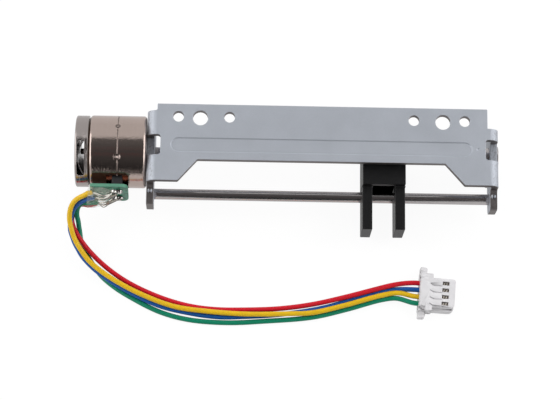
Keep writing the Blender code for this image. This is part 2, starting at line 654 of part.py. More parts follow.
def make_yoke(name, x_disc, x_face, first):
    """The inner pole piece of a phase: a flat ring with claw teeth bent towards the cup's end."""
    way = 1 if x_face > x_disc else -1
    tip = x_face + way * (POLE_LONG - 0.2)
    profile = [(x_disc, POLE_OUT - POLE_WALL), (x_disc, YOKE_RADIUS), (x_face, YOKE_RADIUS), (x_face, POLE_OUT),
               (tip, POLE_OUT), (tip, POLE_OUT - POLE_WALL)]
    yoke = add(name, turned(name, profile, FINE), "nickel", True)
    cut(yoke, name + "_gaps", tooth_gaps(name + "_gaps", x_face, tip, first))
    notch = box(-2 * CAN, CAN, -CAN_WINDOW_HALF, CAN_WINDOW_HALF)
    cut(yoke, name + "_notch", prism(name + "_notch", notch, BOBBIN_RADIUS - 0.1, CAN, "Z", terminal_frame()))


def make_winding(side, x_low, x_high):
    """A phase's bobbin and the coil wound on it, between two x values."""
    tube, wall = BOBBIN_BORE + BOBBIN_WALL, BOBBIN_WALL
    profile = [(x_low, BOBBIN_BORE), (x_low, BOBBIN_RADIUS), (x_low + wall, BOBBIN_RADIUS), (x_low + wall, tube),
               (x_high - wall, tube), (x_high - wall, BOBBIN_RADIUS), (x_high, BOBBIN_RADIUS), (x_high, BOBBIN_BORE)]
    add(side + "_bobbin", turned(side + "_bobbin", profile, FINE), "black_plastic", True)
    low, high, inner = x_low + wall + SEAT, x_high - wall - SEAT, tube + SEAT
    crown = 0.06
    profile = [(low, inner), (low, COIL_RADIUS - crown), ((low + high) / 2, COIL_RADIUS), (high, COIL_RADIUS - crown),
               (high, inner)]
    add(side + "_coil", turned(side + "_coil", profile, FINE), "copper", True)


def make_stator():
    """Two phases back to back, each a cup, an inner yoke, a bobbin and a coil."""
    front, seam, rear = CAN_FRONT, CAN_SEAM, CAN_REAR
    half = SEAT / 2
    quarter_pitch = math.tau / POLE_PAIRS / 4
    half_pitch = math.tau / POLE_PAIRS / 2
    make_cup("front_stator_cup", front, seam + half, 0)
    make_cup("rear_stator_cup", rear, seam - half, quarter_pitch)
    make_yoke("front_inner_yoke", seam + half, seam + half + YOKE_THICK, half_pitch)
    make_yoke("rear_inner_yoke", seam - half, seam - half - YOKE_THICK, quarter_pitch + half_pitch)
    inside = CAN_WALL + 2 * SEAT
    yoke = half + YOKE_THICK + 2 * SEAT
    make_winding("front", seam + yoke, front - inside)
    make_winding("rear", rear + inside, seam - yoke)


def make_rotor():
    end = MAGNET_START + MAGNET_LONG
    bore = HUB_RADIUS + SEAT
    edge = 0.12
    profile = [(MAGNET_START, bore), (MAGNET_START, MAGNET_RADIUS - edge), (MAGNET_START + edge, MAGNET_RADIUS),
               (end - edge, MAGNET_RADIUS), (end, MAGNET_RADIUS - edge), (end, bore)]
    add("rotor_magnet", turned("rotor_magnet", profile), "ferrite", True)
    bore = JOURNAL / 2 + SEAT
    start, stop = MAGNET_START - 0.15, end + 0.25
    profile = [(start, bore), (start, HUB_RADIUS), (stop, HUB_RADIUS), (stop, bore)]
    add("rotor_hub", turned("rotor_hub", profile), "brass", True)


def make_end_cap():
    """The cap behind the rear bearing: a shallow cup with a slot on either side for the leaf spring."""
    edge = 0.3
    inner = CAP_RADIUS - CAP_WALL
    floor = CAP_REAR + CAP_WALL
    profile = [(CAP_REAR, 0), (CAP_REAR, CAP_RADIUS - edge), (CAP_REAR + 0.09, CAP_RADIUS - 0.09),
               (CAP_REAR + edge, CAP_RADIUS), (CAP_FRONT, CAP_RADIUS), (CAP_FRONT, inner), (floor + 0.1, inner),
               (floor, inner - 0.1), (floor, 0)]
    cap = add("rear_end_cap", turned("rear_end_cap", profile, FINE), "nickel", True)
    start = floor + SEAT
    slot = box(start, start + CAP_SLOT_LONG, -CAP_SLOT_HALF, CAP_SLOT_HALF)
    shape = rounded(slot, [CAP_SLOT_CORNER] * 4, 4)
    across = Matrix.Rotation(CAP_TURN, 4, "X")
    reach = (CAP_RADIUS - PAST - CAP_WALL, CAP_RADIUS + PAST)
    sides = [prism("slot", shape, *span, "Z", across) for span in (reach, (-reach[1], -reach[0]))]
    cut(cap, "cap_slots", joined_mesh("cap_slots", sides))

    bow = [(t, SPRING_MIDDLE + SPRING_BOW * t * t) for t in (2 * k / SPRING_STEPS - 1 for k in range(SPRING_STEPS + 1))]
    face = [(x, t * SPRING_HALF_LONG) for t, x in bow]
    back = [(x - SPRING_THICK, t * SPRING_HALF_LONG) for t, x in reversed(bow)]
    leaf = prism("thrust_spring", face + back, -SPRING_HALF_WIDE, SPRING_HALF_WIDE, "Z", across)
    add("thrust_spring", leaf, "bright_steel")


# Terminals, board and glue

def make_terminals():
    """Black block, four pins, the board that they pass through and their solder."""
    lean = terminal_frame()
    top = BOARD_INNER - SEAT
    shape = box(TERMINAL_X - BLOCK_HALF_X, TERMINAL_X + BLOCK_HALF_X, -BLOCK_HALF, BLOCK_HALF)
    block = add("terminal_block", prism("terminal_block", shape, BLOCK_FOOT, top, "Z", lean), "black_plastic")
    corners = box(BOARD_REAR, BOARD_FRONT, -BOARD_HALF, BOARD_HALF)
    outline = rounded(corners, [0.15, BOARD_CORNER, BOARD_CORNER, 0.15], 4)
    outer = BOARD_INNER + BOARD_THICK
    board = add("terminal_board", prism("terminal_board", outline, BOARD_INNER, outer, "Z", lean), "board_green")

    places = [(TERMINAL_X + i * PIN_STEP_X / 2, j * PIN_STEP / 2) for j in (1, -1) for i in (-1, 1)]
    r = PIN / 2
    sleeve = [prism("bore", circle(x, y, r + SEAT, 8), PIN_FOOT - SEAT, outer + PAST, "Z", lean) for x, y in places]
    cut(block, "pin_bores", joined_mesh("pin_bores", sleeve))
    plated = [prism("bore", circle(x, y, r + 2 * SEAT, 8), BOARD_INNER - PAST, outer + PAST, "Z", lean)
              for x, y in places]
    cut(board, "board_bores", joined_mesh("board_bores", plated))

    upright = Matrix.Rotation(-math.pi / 2, 4, "Y")
    for number, (x, y) in enumerate(places, 1):
        name = f"terminal_pin_{number}"
        add(name, prism(name, circle(x, y, r, 8), PIN_FOOT, outer + PIN_OUT, "Z", lean), "solder")
        low, high, bore = outer + SEAT, outer + SEAT + SOLDER_HIGH, r + SEAT
        profile = [(low, bore), (low, SOLDER_RADIUS * 0.9), (low + 0.06, SOLDER_RADIUS),
                   ((low + high) / 2, SOLDER_RADIUS * 0.72), (high, bore + 0.05), (high, bore)]
        place = lean @ Matrix.Translation((x, y, 0)) @ upright
        name = f"solder_joint_{number}"
        add(name, turned(name, profile, COARSE, place), "solder", True)


def glue_loop(x, size):
    """A section of the glue drop across the motor's axis: flat on the board and domed above it."""
    base = BOARD_INNER + BOARD_THICK + SEAT
    half, high = GLUE_HALF * (0.55 + 0.45 * size), GLUE_HIGH * size
    loop = []
    for k in range(GLUE_SIDES + 1):
        a = math.pi * k / GLUE_SIDES
        side = math.copysign(abs(math.cos(a)) ** 0.75, math.cos(a))
        loop.append((x, GLUE_MIDDLE + half * side, base + high * math.sin(a) ** 0.75))
    return loop


def make_glue():
    stations = ((0.0, 0.84), (0.05, 0.95), (0.2, 1.0), (0.45, 0.97), (0.65, 0.85), (0.82, 0.62), (0.94, 0.34),
                (1.0, 0.12))
    loops = [glue_loop(GLUE_REAR + (GLUE_FRONT - GLUE_REAR) * share, size) for share, size in stations]
    add("glue_drop", lofted("glue_drop", loops, terminal_frame()), "glue", True)


# Slider

def make_slider():
    """The nut block round the screw, and two arms that hold the guide rod and reach past it."""
    side = [(SLIDER_FACE, SLIDER_LOW), (SLIDER_BACK, SLIDER_LOW), (SLIDER_BACK, SLIDER_TOP), (SLIDER_FACE, SLIDER_TOP)]
    outline = rounded(side, [0.1, SLIDER_SHOULDER, SLIDER_SHOULDER, 0.1], 4)
    slider = add("slider", prism("slider", outline, SLIDER_REAR, SLIDER_FRONT, "X"), "black_acetal")
    root = SLIDER_FACE + ARM_ROOT
    arm = rounded([(ARM_END, SLIDER_LOW + SEAT / 2), (root, SLIDER_LOW + SEAT / 2), (root, ARM_TOP),
                   (ARM_END, ARM_TOP)], [0.15, 0, 0, 0.15], 3)
    inset = SEAT / 2
    arms = [prism("arm", arm, SLIDER_REAR + inset, SLIDER_REAR + ARM_WIDE, "X"),
            prism("arm", arm, SLIDER_FRONT - ARM_WIDE, SLIDER_FRONT - inset, "X")]
    cut(slider, "arms", joined_mesh("arms", arms), "UNION")
    bores = [prism("nut_bore", circle(0, 0, SCREW / 2 + RUN), SLIDER_REAR - PAST, SLIDER_FRONT + PAST, "X"),
             prism("rod_bore", circle(ROD_Y, 0, ROD / 2 + RUN), SLIDER_REAR - PAST, SLIDER_FRONT + PAST, "X")]
    cut(slider, "slider_bores", joined_mesh("slider_bores", bores))


# Wires and plug

def make_wires():
    for name, route in ROUTES.items():
        line = bpy.data.curves.new(name, "CURVE")
        line.dimensions = "3D"
        line.bevel_depth = WIRE / 2 * MM
        line.bevel_resolution = 2
        line.use_fill_caps = True
        points = smooth_route(route, WIRE_STEP)
        spline = line.splines.new("POLY")
        spline.points.add(len(points) - 1)
        for knot, p in zip(spline.points, points):
            knot.co = (*(p * MM), 1.0)
        wire = bpy.data.objects.new(name, line)
        bpy.context.collection.objects.link(wire)
        wire.parent = FRAME
        line.materials.append(finish(name.replace("wire_", "") + "_jacket"))


def plug_frame():
    """From the plug's own frame, x along the wires and z up from the table, to the slide's."""
    return Matrix.Translation((*PLUG_AT, FLOOR)) @ Matrix.Rotation(PLUG_TURN, 4, "Z")


def cavity_places():
    return [PLUG_PITCH * (1.5 - k) for k in range(4)]


def lance(y):
    """A slot in the plug's top, seen from above: a slanting start and a straight run to the window."""
    half = LANCE_WIDE / 2
    near, far = y + LANCE_SIDE[0], y + LANCE_SIDE[1]
    return [(LANCE_START, near - half), (LANCE_KINK, far - half), (VIEW_START + SEAT, far - half),
            (VIEW_START + SEAT, far + half), (LANCE_KINK + half, far + half), (LANCE_START, near + half)]


def make_plug():
    """A white four-way housing: a body with a ledge along its sides, and at its wire end a
    shoulder, two ears and a raised lug."""
    at = plug_frame()
    edge = PLUG_EDGE
    corners = [edge / 2, PLUG_CORNER, edge, edge / 2]
    base = rounded(box(SEAT, PLUG_LONG, -PLUG_HALF, PLUG_HALF), corners, 4)
    housing = add("plug_housing", prism("plug_housing", base, 0, PLUG_LEDGE, "Z", at), "white_plastic")
    upper = rounded(box(SEAT * 2, PLUG_LONG - SEAT, -PLUG_TOP_HALF, PLUG_TOP_HALF), [edge / 2, 3 * edge, edge, edge / 2], 4)
    cut(housing, "plug_upper", prism("plug_upper", upper, PLUG_LEDGE - PLUG_LEDGE / 2, PLUG_HIGH, "Z", at), "UNION")
    shoulder = rounded(box(0, SHOULDER_LONG, *SHOULDER_SIDES), [edge] * 4, 2)
    cut(housing, "plug_shoulder", prism("plug_shoulder", shoulder, SEAT, SHOULDER_HIGH, "Z", at), "UNION")
    ears = rounded(box(-SEAT, EAR_LONG, *EAR_SIDES), [edge, 0.3, 0.3, edge], 2)
    cut(housing, "plug_ears", prism("plug_ears", ears, 2 * SEAT, EAR_HIGH, "Z", at), "UNION")
    lug = rounded(box(*LUG[0], *LUG[1]), [edge / 2] * 4, 2)
    cut(housing, "plug_lug", prism("plug_lug", lug, 3 * SEAT, LUG_HIGH, "Z", at), "UNION")
    middle = (CAVITY_LOW + CAVITY_HIGH) / 2
    hollow = []
    for y in cavity_places():
        room = box(y - CAVITY_WIDE / 2, y + CAVITY_WIDE / 2, CAVITY_LOW, CAVITY_HIGH)
        hollow.append(prism("cavity", room, CAVITY_START, PLUG_LONG + PAST, "X", at))
    cut(housing, "plug_cavities", joined_mesh("plug_cavities", hollow))
    entries = [prism("entry", circle(y, middle, WIRE_HOLE / 2, COARSE), -PAST, CAVITY_START + PAST / 10, "X", at)
               for y in cavity_places()]
    cut(housing, "plug_entries", joined_mesh("plug_entries", entries))
    windows = [prism("view", box(VIEW_START, VIEW_END, y - VIEW_HALF, y + VIEW_HALF), middle, PLUG_HIGH + PAST, "Z", at)
               for y in cavity_places()]
    cut(housing, "plug_windows", joined_mesh("plug_windows", windows))
    lances = [prism("lance", lance(y), PLUG_HIGH - LANCE_DEEP, LUG_HIGH + PAST, "Z", at) for y in cavity_places()]
    cut(housing, "plug_lances", joined_mesh("plug_lances", lances))

    wide, high = CAVITY_WIDE / 2 - SEAT, (CAVITY_HIGH - CAVITY_LOW) / 2 - SEAT
    sheet = CONTACT_SHEET
    for number, y in enumerate(cavity_places(), 1):
        name = f"contact_{number}"
        shell = box(y - wide, y + wide, middle - high, middle + high)
        contact = add(name, prism(name, shell, CONTACT_START, PLUG_LONG - CONTACT_BACK, "X", at), "contact_tin")
        crimp = prism(name + "_crimp", circle(y, middle, CRIMP_RADIUS, 8), CRIMP_START, CONTACT_START + 2 * sheet, "X", at)
        cut(contact, name + "_crimp", crimp, "UNION")
        socket = box(y - wide + sheet, y + wide - sheet, middle - high + sheet, middle + high - sheet)
        hollow = prism(name + "_socket", socket, CONTACT_START + 6 * sheet, PLUG_LONG + PAST, "X", at)
        cut(contact, name + "_socket", hollow)


def make_frame():
    """An empty on the screw's axis. It puts the middle of the slide's underside at the origin."""
    far = BRACKET_LONG + SEAT + END_COLLAR_THICK
    middle_x = (CAP_REAR + far) / 2
    middle_y = (EDGE_BACK + ARM_END) / 2
    empty = bpy.data.objects.new("slide", None)
    bpy.context.collection.objects.link(empty)
    empty.location = (-middle_x * MM, -middle_y * MM, -FLOOR * MM)
    return empty


clear_scene()
FRAME = make_frame()
make_bracket()
make_rod()
make_screw()
make_bearings()
make_stator()
make_rotor()
make_end_cap()
make_terminals()
make_glue()
make_slider()
make_wires()
make_plug()
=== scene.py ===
"""The looks of a small stepper motor slide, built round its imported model.

Sizes are in millimetres in the slide's own frame: +X runs along the lead screw from the motor end of
the bracket, and y and z are measured from the screw's axis, with +Y away from the guide rod and +Z
out of the plate. Angles round the screw go from +Y towards +Z.
"""
import math

import bmesh
import bpy
import numpy as np
from mathutils import Matrix, Vector


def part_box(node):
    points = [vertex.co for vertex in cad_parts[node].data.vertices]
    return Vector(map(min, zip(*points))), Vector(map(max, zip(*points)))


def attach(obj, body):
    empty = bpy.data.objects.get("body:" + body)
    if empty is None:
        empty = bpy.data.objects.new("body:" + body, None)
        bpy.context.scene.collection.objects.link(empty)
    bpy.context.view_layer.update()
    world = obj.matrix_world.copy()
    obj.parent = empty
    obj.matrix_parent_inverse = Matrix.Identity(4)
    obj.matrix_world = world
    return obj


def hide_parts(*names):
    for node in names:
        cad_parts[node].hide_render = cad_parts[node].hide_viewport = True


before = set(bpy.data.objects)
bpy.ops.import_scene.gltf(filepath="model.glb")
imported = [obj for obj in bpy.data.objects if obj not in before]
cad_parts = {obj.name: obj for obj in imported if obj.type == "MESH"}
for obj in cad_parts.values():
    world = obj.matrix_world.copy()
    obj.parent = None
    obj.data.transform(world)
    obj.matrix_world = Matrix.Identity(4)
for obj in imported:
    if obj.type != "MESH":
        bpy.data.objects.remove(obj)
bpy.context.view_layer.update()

MM = 0.001
TAU = math.tau

# Where the slide's own frame stands in the row's frame
SCREW_LOW, SCREW_HIGH = (np.array(corner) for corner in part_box("lead_screw"))
ORIGIN = np.array((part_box("bracket")[0][0], *((SCREW_LOW + SCREW_HIGH) / 2)[1:])) / MM

# Camera: its distance, its lean from the plate's normal towards the rod and towards the motor, its
# roll, in degrees, and its lens
CAMERA_TARGET = (18.45, -6.475, 0.0)
CAMERA_AWAY = 300.0
CAMERA_LEAN = 14.0
CAMERA_SIDE = 1.53
CAMERA_ROLL = 1.0
PHOTO_WIDE = 560
FOCAL_PIXELS = 2168
SENSOR = 36.0

# Bracket
SHEET = 1.0
BRACKET_LONG = 48.39
PLATE_TOP = 4.5
FLOOR = -5.0

# Shafts
ROD_RADIUS = 0.75
ROD_Y = -5.93
THREAD_RADIUS = 1.0
THREAD_DEEP = 0.17
THREAD_PITCH = 0.5
THREAD_STARTS = 2
THREAD_START = 2.1
THREAD_END = 46.69
JOURNAL_RADIUS = 0.75
REAR_PIVOT_RADIUS = 0.4
END_PIVOT_RADIUS = 0.5
SCREW_REAR = -9.33
PIVOT_SHOULDER = -7.2
SCREW_TIP = 48.09

# Motor
CAN_RADIUS = 5.0
CAN_WALL = 0.35
CAN_FRONT = -0.12
CAN_REAR = -7.9
CAN_SEAM = -4.0
CAN_OPENING = 2.85
CAN_BEND = 0.4
TERMINAL_ANGLE = math.radians(168)
TERMINAL_X = -4.02
CAN_WINDOW_HALF_X = 1.5
CAN_WINDOW_TURN = math.radians(23)
WELD_TURNS = (math.radians(60), math.radians(113), math.radians(-67), math.radians(-120))
WELD_RADIUS = 0.42
WELD_DEEP = 0.13
TEETH = 5
TOOTH_LONG = 2.95
TOOTH_RADII = (2.85, 3.1)
TOOTH_HALF_ANGLES = (15, 9)
YOKE_RADIUS = 4.6
YOKE_WALL = 0.28
BOBBIN_RADII = (3.15, 3.43, 4.4)
BOBBIN_WALL = 0.28
COIL_RADII = (3.46, 4.14)
WINDING_WIRE = 0.1
MAGNET = (-6.8, -1.2, 1.28, 2.6)
HUB = (-6.95, -0.95, 0.78, 1.25)
CAP_REAR = -9.85
CAP_FRONT = -8.05
CAP_RADIUS = 4.95
CAP_LEAN = math.radians(27)
CAP_WALL = 0.3
LEAF_BOW = 0.8
SLOT_X = (-9.52, -8.52)
SLOT_HALF = 2.5
SLOT_CORNER = 0.3
BOARD_LOW = 6.0
BOARD_TOP = 6.5

# Wires and plug
WIRE_RADIUS = 0.35
PLUG_AT = (38.01, -18.57)
PLUG_TURN = math.radians(-3.9)
PLUG_PITCH = 0.95
VIEW_X = 3.2

# How bright the sky is for matt surfaces, and in mirrors
SKY = 0.5
MIRRORED_SKY = 0.67


# Shapes as arrays

def at_slide(points):
    """Points in the slide's own frame, in millimetres, moved to the row's frame in metres."""
    return (np.asarray(points, float) + ORIGIN) * MM


def grid_faces(rows, columns, wrap_rows=False, wrap_columns=False):
    """The quads between neighbouring points of a grid that is stored row by row."""
    r, c = np.meshgrid(np.arange(rows - (not wrap_rows)), np.arange(columns - (not wrap_columns)),
                       indexing="ij")
    r_next, c_next = (r + 1) % rows, (c + 1) % columns
    corners = (r * columns + c, r * columns + c_next, r_next * columns + c_next, r_next * columns + c)
    return np.stack(corners, axis=-1).reshape(-1, 4)


def rounded(corners, radii, steps=5):
    """A closed outline with every corner swapped for an arc of its own radius that touches both
    sides: the arc's centre lies on the corner's bisector at radius / sin(half the corner's angle)."""
    points = np.array(corners, float)
    radii = np.broadcast_to(np.asarray(radii, float), len(points))[:, None]
    before, after = np.roll(points, 1, 0) - points, np.roll(points, -1, 0) - points
    before /= np.linalg.norm(before, axis=1)[:, None]
    after /= np.linalg.norm(after, axis=1)[:, None]
    half = np.arccos(np.clip((before * after).sum(1), -1, 1))[:, None] / 2
    middle = before + after
    centre = points + middle / np.linalg.norm(middle, axis=1)[:, None] * radii / np.sin(half)
    first = before * radii / np.tan(half) + points - centre
    last = after * radii / np.tan(half) + points - centre
    share = np.linspace(0, 1, steps)[None, :, None]
    sweep = (math.pi - 2 * half)[:, None]
    arc = first[:, None] * np.sin(sweep * (1 - share)) + last[:, None] * np.sin(sweep * share)
    return (centre[:, None] + arc / np.sin(sweep)).reshape(-1, 2)


def round_points(x, radius, turn):
    """Points round the screw's axis: (x, radius * cos(turn), radius * sin(turn))."""
    return np.stack(np.broadcast_arrays(x, radius * np.cos(turn), radius * np.sin(turn)), axis=-1)


def turned_grid(profile, turns):
    """A profile of (x, radius) carried round the screw's axis to every angle in turns."""
    x, radius = np.asarray(profile, float).T
    return round_points(x[:, None], radius[:, None], turns)


def full_turn(steps):
    """Angles spread evenly over a full turn."""
    return np.arange(steps) * TAU / steps


def off_turn(turns, centre):
    """How far angles lie from a centre angle, from minus to plus half a turn."""
    return (turns - centre + math.pi) % TAU - math.pi


def carried(path, section):
    """A closed section of (side, up) points carried along a path of points. It doesn't twist: each
    step turns its side by the least that the path needs."""
    path = np.asarray(path, float)
    ahead = np.gradient(path, axis=0)
    ahead /= np.linalg.norm(ahead, axis=1)[:, None]
    side = np.cross(ahead[0], (0, 0, 1) if abs(ahead[0][2]) < 0.9 else (0, 1, 0))
    sides = [side / np.linalg.norm(side)]
    for way in ahead[1:]:
        side = sides[-1] - way * (sides[-1] @ way)
        sides.append(side / np.linalg.norm(side))
    sides = np.array(sides)
    ups = np.cross(sides, ahead)
    section = np.asarray(section, float)
    return path[:, None] + sides[:, None] * section[None, :, :1] + ups[:, None] * section[None, :, 1:]


def smooth_line(points, step):
    """Evenly spaced points on a centripetal Catmull-Rom curve: between two of the given points it
    blends the straight lines through them and their neighbours, by distances to the power of 1/2."""
    knots = np.array(points, float)
    knots = np.vstack((2 * knots[0] - knots[1], knots, 2 * knots[-1] - knots[-2]))
    gaps = np.sqrt(np.linalg.norm(np.diff(knots, axis=0), axis=1))
    share = np.linspace(0, 1, 17)[:-1]
    pieces = []
    for i in range(len(knots) - 3):
        p0, p1, p2, p3 = knots[i:i + 4]
        t1, t2, t3 = np.cumsum(gaps[i:i + 3])
        t = (t1 + (t2 - t1) * share)[:, None]

        def mixed(one, two, low, high):
            return one + (two - one) * (t - low) / (high - low)

        a1, a2, a3 = mixed(p0, p1, 0, t1), mixed(p1, p2, t1, t2), mixed(p2, p3, t2, t3)
        pieces.append(mixed(mixed(a1, a2, 0, t2), mixed(a2, a3, t1, t3), t1, t2))
    dense = np.vstack(pieces + [knots[-2:-1]])
    along = np.concatenate(([0], np.cumsum(np.linalg.norm(np.diff(dense, axis=0), axis=1))))
    want = np.linspace(0, along[-1], round(along[-1] / step) + 1)
    return np.stack([np.interp(want, along, dense[:, k]) for k in range(3)], axis=-1)


def box_outline(x0, x1, y0, y1):
    """A rectangle's corners."""
    return [(x0, y0), (x1, y0), (x1, y1), (x0, y1)]


def leaning(points):
    """Points of the terminals' own frame, (x, sideways, away from the screw), in the slide's."""
    x, sideways, away = np.moveaxis(np.asarray(points, float), -1, 0)
    c, s = math.cos(TERMINAL_ANGLE), math.sin(TERMINAL_ANGLE)
    return np.stack((x, away * c + sideways * s, away * s - sideways * c), axis=-1)


# Pieces

def tidy_mesh(name, points, faces):
    """A mesh of the row's frame with its doubles merged and its faces turned outwards."""
    mesh = bpy.data.meshes.new(name)
    mesh.from_pydata(at_slide(points).tolist(), [], [list(map(int, f)) for f in faces])
    bm = bmesh.new()
    bm.from_mesh(mesh)
    bmesh.ops.remove_doubles(bm, verts=bm.verts, dist=1e-7)
    bmesh.ops.dissolve_degenerate(bm, edges=bm.edges, dist=1e-8)
    bmesh.ops.recalc_face_normals(bm, faces=bm.faces)
    bm.to_mesh(mesh)
    bm.free()
    return mesh


def shown(name, data):
    """An object of the scene."""
    thing = bpy.data.objects.new(name, data)
    bpy.context.collection.objects.link(thing)
    return thing


def piece(name, mesh, look, body="frame", slot=None, instead_of=None, sharp=35):
    """A shown piece with its finish, on the body that carries it. Its slot argument is not used."""
    thing = shown(name, mesh)
    mesh.materials.clear()
    mesh.materials.append(LOOKS[look])
    mesh.shade_smooth()
    mesh.set_sharp_from_angle(angle=math.radians(sharp))
    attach(thing, body)
    if instead_of:
        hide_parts(instead_of)
    return thing


def patch(grid, wrap=(False, True), caps=()):
    """A grid's points and faces. A cap closes its first (0) or its last (-1) row."""
    rows, columns = grid.shape[:2]
    faces = [list(f) for f in grid_faces(rows, columns, *wrap)]
    faces += [list(range(end % rows * columns, (end % rows + 1) * columns)) for end in caps]
    return grid.reshape(-1, 3), faces


def patched(name, patches, look, **more):
    """A piece from several patches, in one mesh."""
    points, faces = [], []
    for spots, corners in patches:
        faces += [[len(points) + i for i in f] for f in corners]
        points += spots.tolist()
    return piece(name, tidy_mesh(name, points, faces), look, **more)


def surface(name, grid, look, wrap=(False, True), caps=(), **more):
    """A piece from one grid of points."""
    return patched(name, [patch(grid, wrap, caps)], look, **more)


def turned(name, profile, look, **more):
    """A piece turned round the screw's axis from a closed profile of (x, radius)."""
    return surface(name, turned_grid(profile, full_turn(96)), look, wrap=(True, True), **more)


def slab_grid(outline, low, high, edge):
    """A flat piece's skin: its outline at four heights, drawn in by the edge's width at the first
    and the last. Each point moves in along the mean of its two sides' normals."""
    outline = np.asarray(outline, float)
    ahead = np.roll(outline, -1, 0) - outline
    normal = np.stack((-ahead[:, 1], ahead[:, 0]), axis=-1)
    normal /= np.maximum(np.linalg.norm(normal, axis=1)[:, None], 1e-9)
    inward = normal + np.roll(normal, 1, 0)
    inward /= np.maximum((inward ** 2).sum(1)[:, None] / 2, 1e-9)
    drawn_in = outline + inward * edge
    heights = (low, low + edge, high - edge, high)
    rings = (drawn_in, outline, outline, drawn_in)
    return np.stack([np.column_stack((ring, np.full(len(ring), z))) for ring, z in zip(rings, heights)])


def round_edges(thing, width, segments, angle, limit="ANGLE"):
    """Rounds the edges that turn by more than the angle, or that carry a weight."""
    rounding = thing.modifiers.new("rounded edges", "BEVEL")
    rounding.width = width * MM
    rounding.segments = segments
    rounding.limit_method = limit
    rounding.angle_limit = math.radians(angle)
    rounding.use_clamp_overlap = False
    return rounding


def softened(name, node, look, width, body="frame", segments=2, keep=None):
    """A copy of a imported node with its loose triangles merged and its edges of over 30 degrees
    rounded. The edges at points that keep calls fine detail stay sharp."""
    angle = 30
    bm = bmesh.new()
    bm.from_mesh(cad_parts[node].data)
    bmesh.ops.remove_doubles(bm, verts=bm.verts, dist=2e-6)
    if keep:
        weights = bm.edges.layers.float.new("bevel_weight_edge")
        for edge in bm.edges:
            fine = any(keep(np.array(v.co) / MM - ORIGIN) for v in edge.verts)
            edge[weights] = float(not fine and edge.calc_face_angle(0) > math.radians(angle))
    else:
        bmesh.ops.dissolve_limit(bm, angle_limit=math.radians(1), verts=bm.verts, edges=bm.edges)
    mesh = bpy.data.meshes.new(name)
    bm.to_mesh(mesh)
    bm.free()
    thing = piece(name, mesh, look, body, instead_of=node, sharp=angle)
    round_edges(thing, width, segments, angle, "WEIGHT" if keep else "ANGLE")
    thing.modifiers.new("flat faces", "WEIGHTED_NORMAL").keep_sharp = True
    return thing


# Finishes

class Link:
    """A shader socket. Its arithmetic adds Math nodes."""

    def __init__(self, net, socket):
        self.net, self.socket = net, socket

    def maths(self, operation, *others):
        return self.net.node("Math", {"operation": operation}, dict(enumerate((self, *others))))

    def __add__(self, other):
        return self.maths("ADD", other)

    def __sub__(self, other):
        return self.maths("SUBTRACT", other)

    def __rsub__(self, other):
        return self.net.node("Math", {"operation": "SUBTRACT"}, {0: other, 1: self})

    def __mul__(self, other):
        return self.maths("MULTIPLY", other)

    def __pow__(self, other):
        return self.maths("POWER", other)

    def above(self, low, high):
        """0 below low, 1 above high and smooth between them."""
        return self.net.node("MapRange", {"interpolation_type": "SMOOTHSTEP"},
                             {"Value": self, "From Min": low, "From Max": high}, "Result")

    __radd__ = __add__
    __rmul__ = __mul__


class Finish:
    """A material's nodes, from the texture coordinates in millimetres to the shader's sockets."""

    def __init__(self, name, colour, rough, metal=0.0, **fixed):
        self.material = bpy.data.materials.new(name)
        self.material.use_nodes = True
        self.tree = self.material.node_tree
        self.shader = self.tree.nodes["Principled BSDF"]
        self.colour = colour
        self.set(Base_Color=(*colour, 1), Roughness=rough, Metallic=metal, **fixed)

    def node(self, kind, settings=None, sockets=None, out=0):
        made = self.tree.nodes.new("ShaderNode" + kind)
        for key, value in (settings or {}).items():
            setattr(made, key, value)
        for key, value in (sockets or {}).items():
            self.feed(made.inputs[key], value)
        return Link(self, made.outputs[out])

    def feed(self, socket, value):
        if isinstance(value, Link):
            self.tree.links.new(value.socket, socket)
        else:
            socket.default_value = value

    def set(self, **values):
        for socket, value in values.items():
            self.feed(self.shader.inputs[socket.replace("_", " ")], value)
        return self

    def noise(self, size, scale=(1, 1, 1), detail=3.0):
        """Noise from 0 to 1 with features of about size millimetres, stretched by 1 / scale."""
        spot = self.node("Mapping", None, {"Vector": self.node("TexCoord", out="Object"),
                                           "Scale": tuple(s / MM for s in scale)})
        return self.node("TexNoise", {"noise_dimensions": "3D"},
                         {"Vector": spot, "Scale": 1 / size, "Detail": detail, "Roughness": 0.55})

    def blend(self, share, one, two):
        """A colour between two colours."""
        one, two = (c if isinstance(c, Link) else (*c, 1) for c in (one, two))
        return self.node("Mix", {"data_type": "RGBA"}, {0: share, 6: one, 7: two}, 2)

    def shaded(self, share, low=0.85, high=1.1):
        """The finish's own colour, from low to high times as bright."""
        dark, light = ([min(c * k, 1) for c in self.colour] for k in (low, high))
        return self.blend(share, dark, light)

    def bump(self, height, deep, strength):
        """Raises the surface by deep millimetres where the height is 1."""
        facing = self.node("Bump", None, {"Height": height, "Strength": strength, "Distance": deep * MM})
        return self.set(Normal=facing)


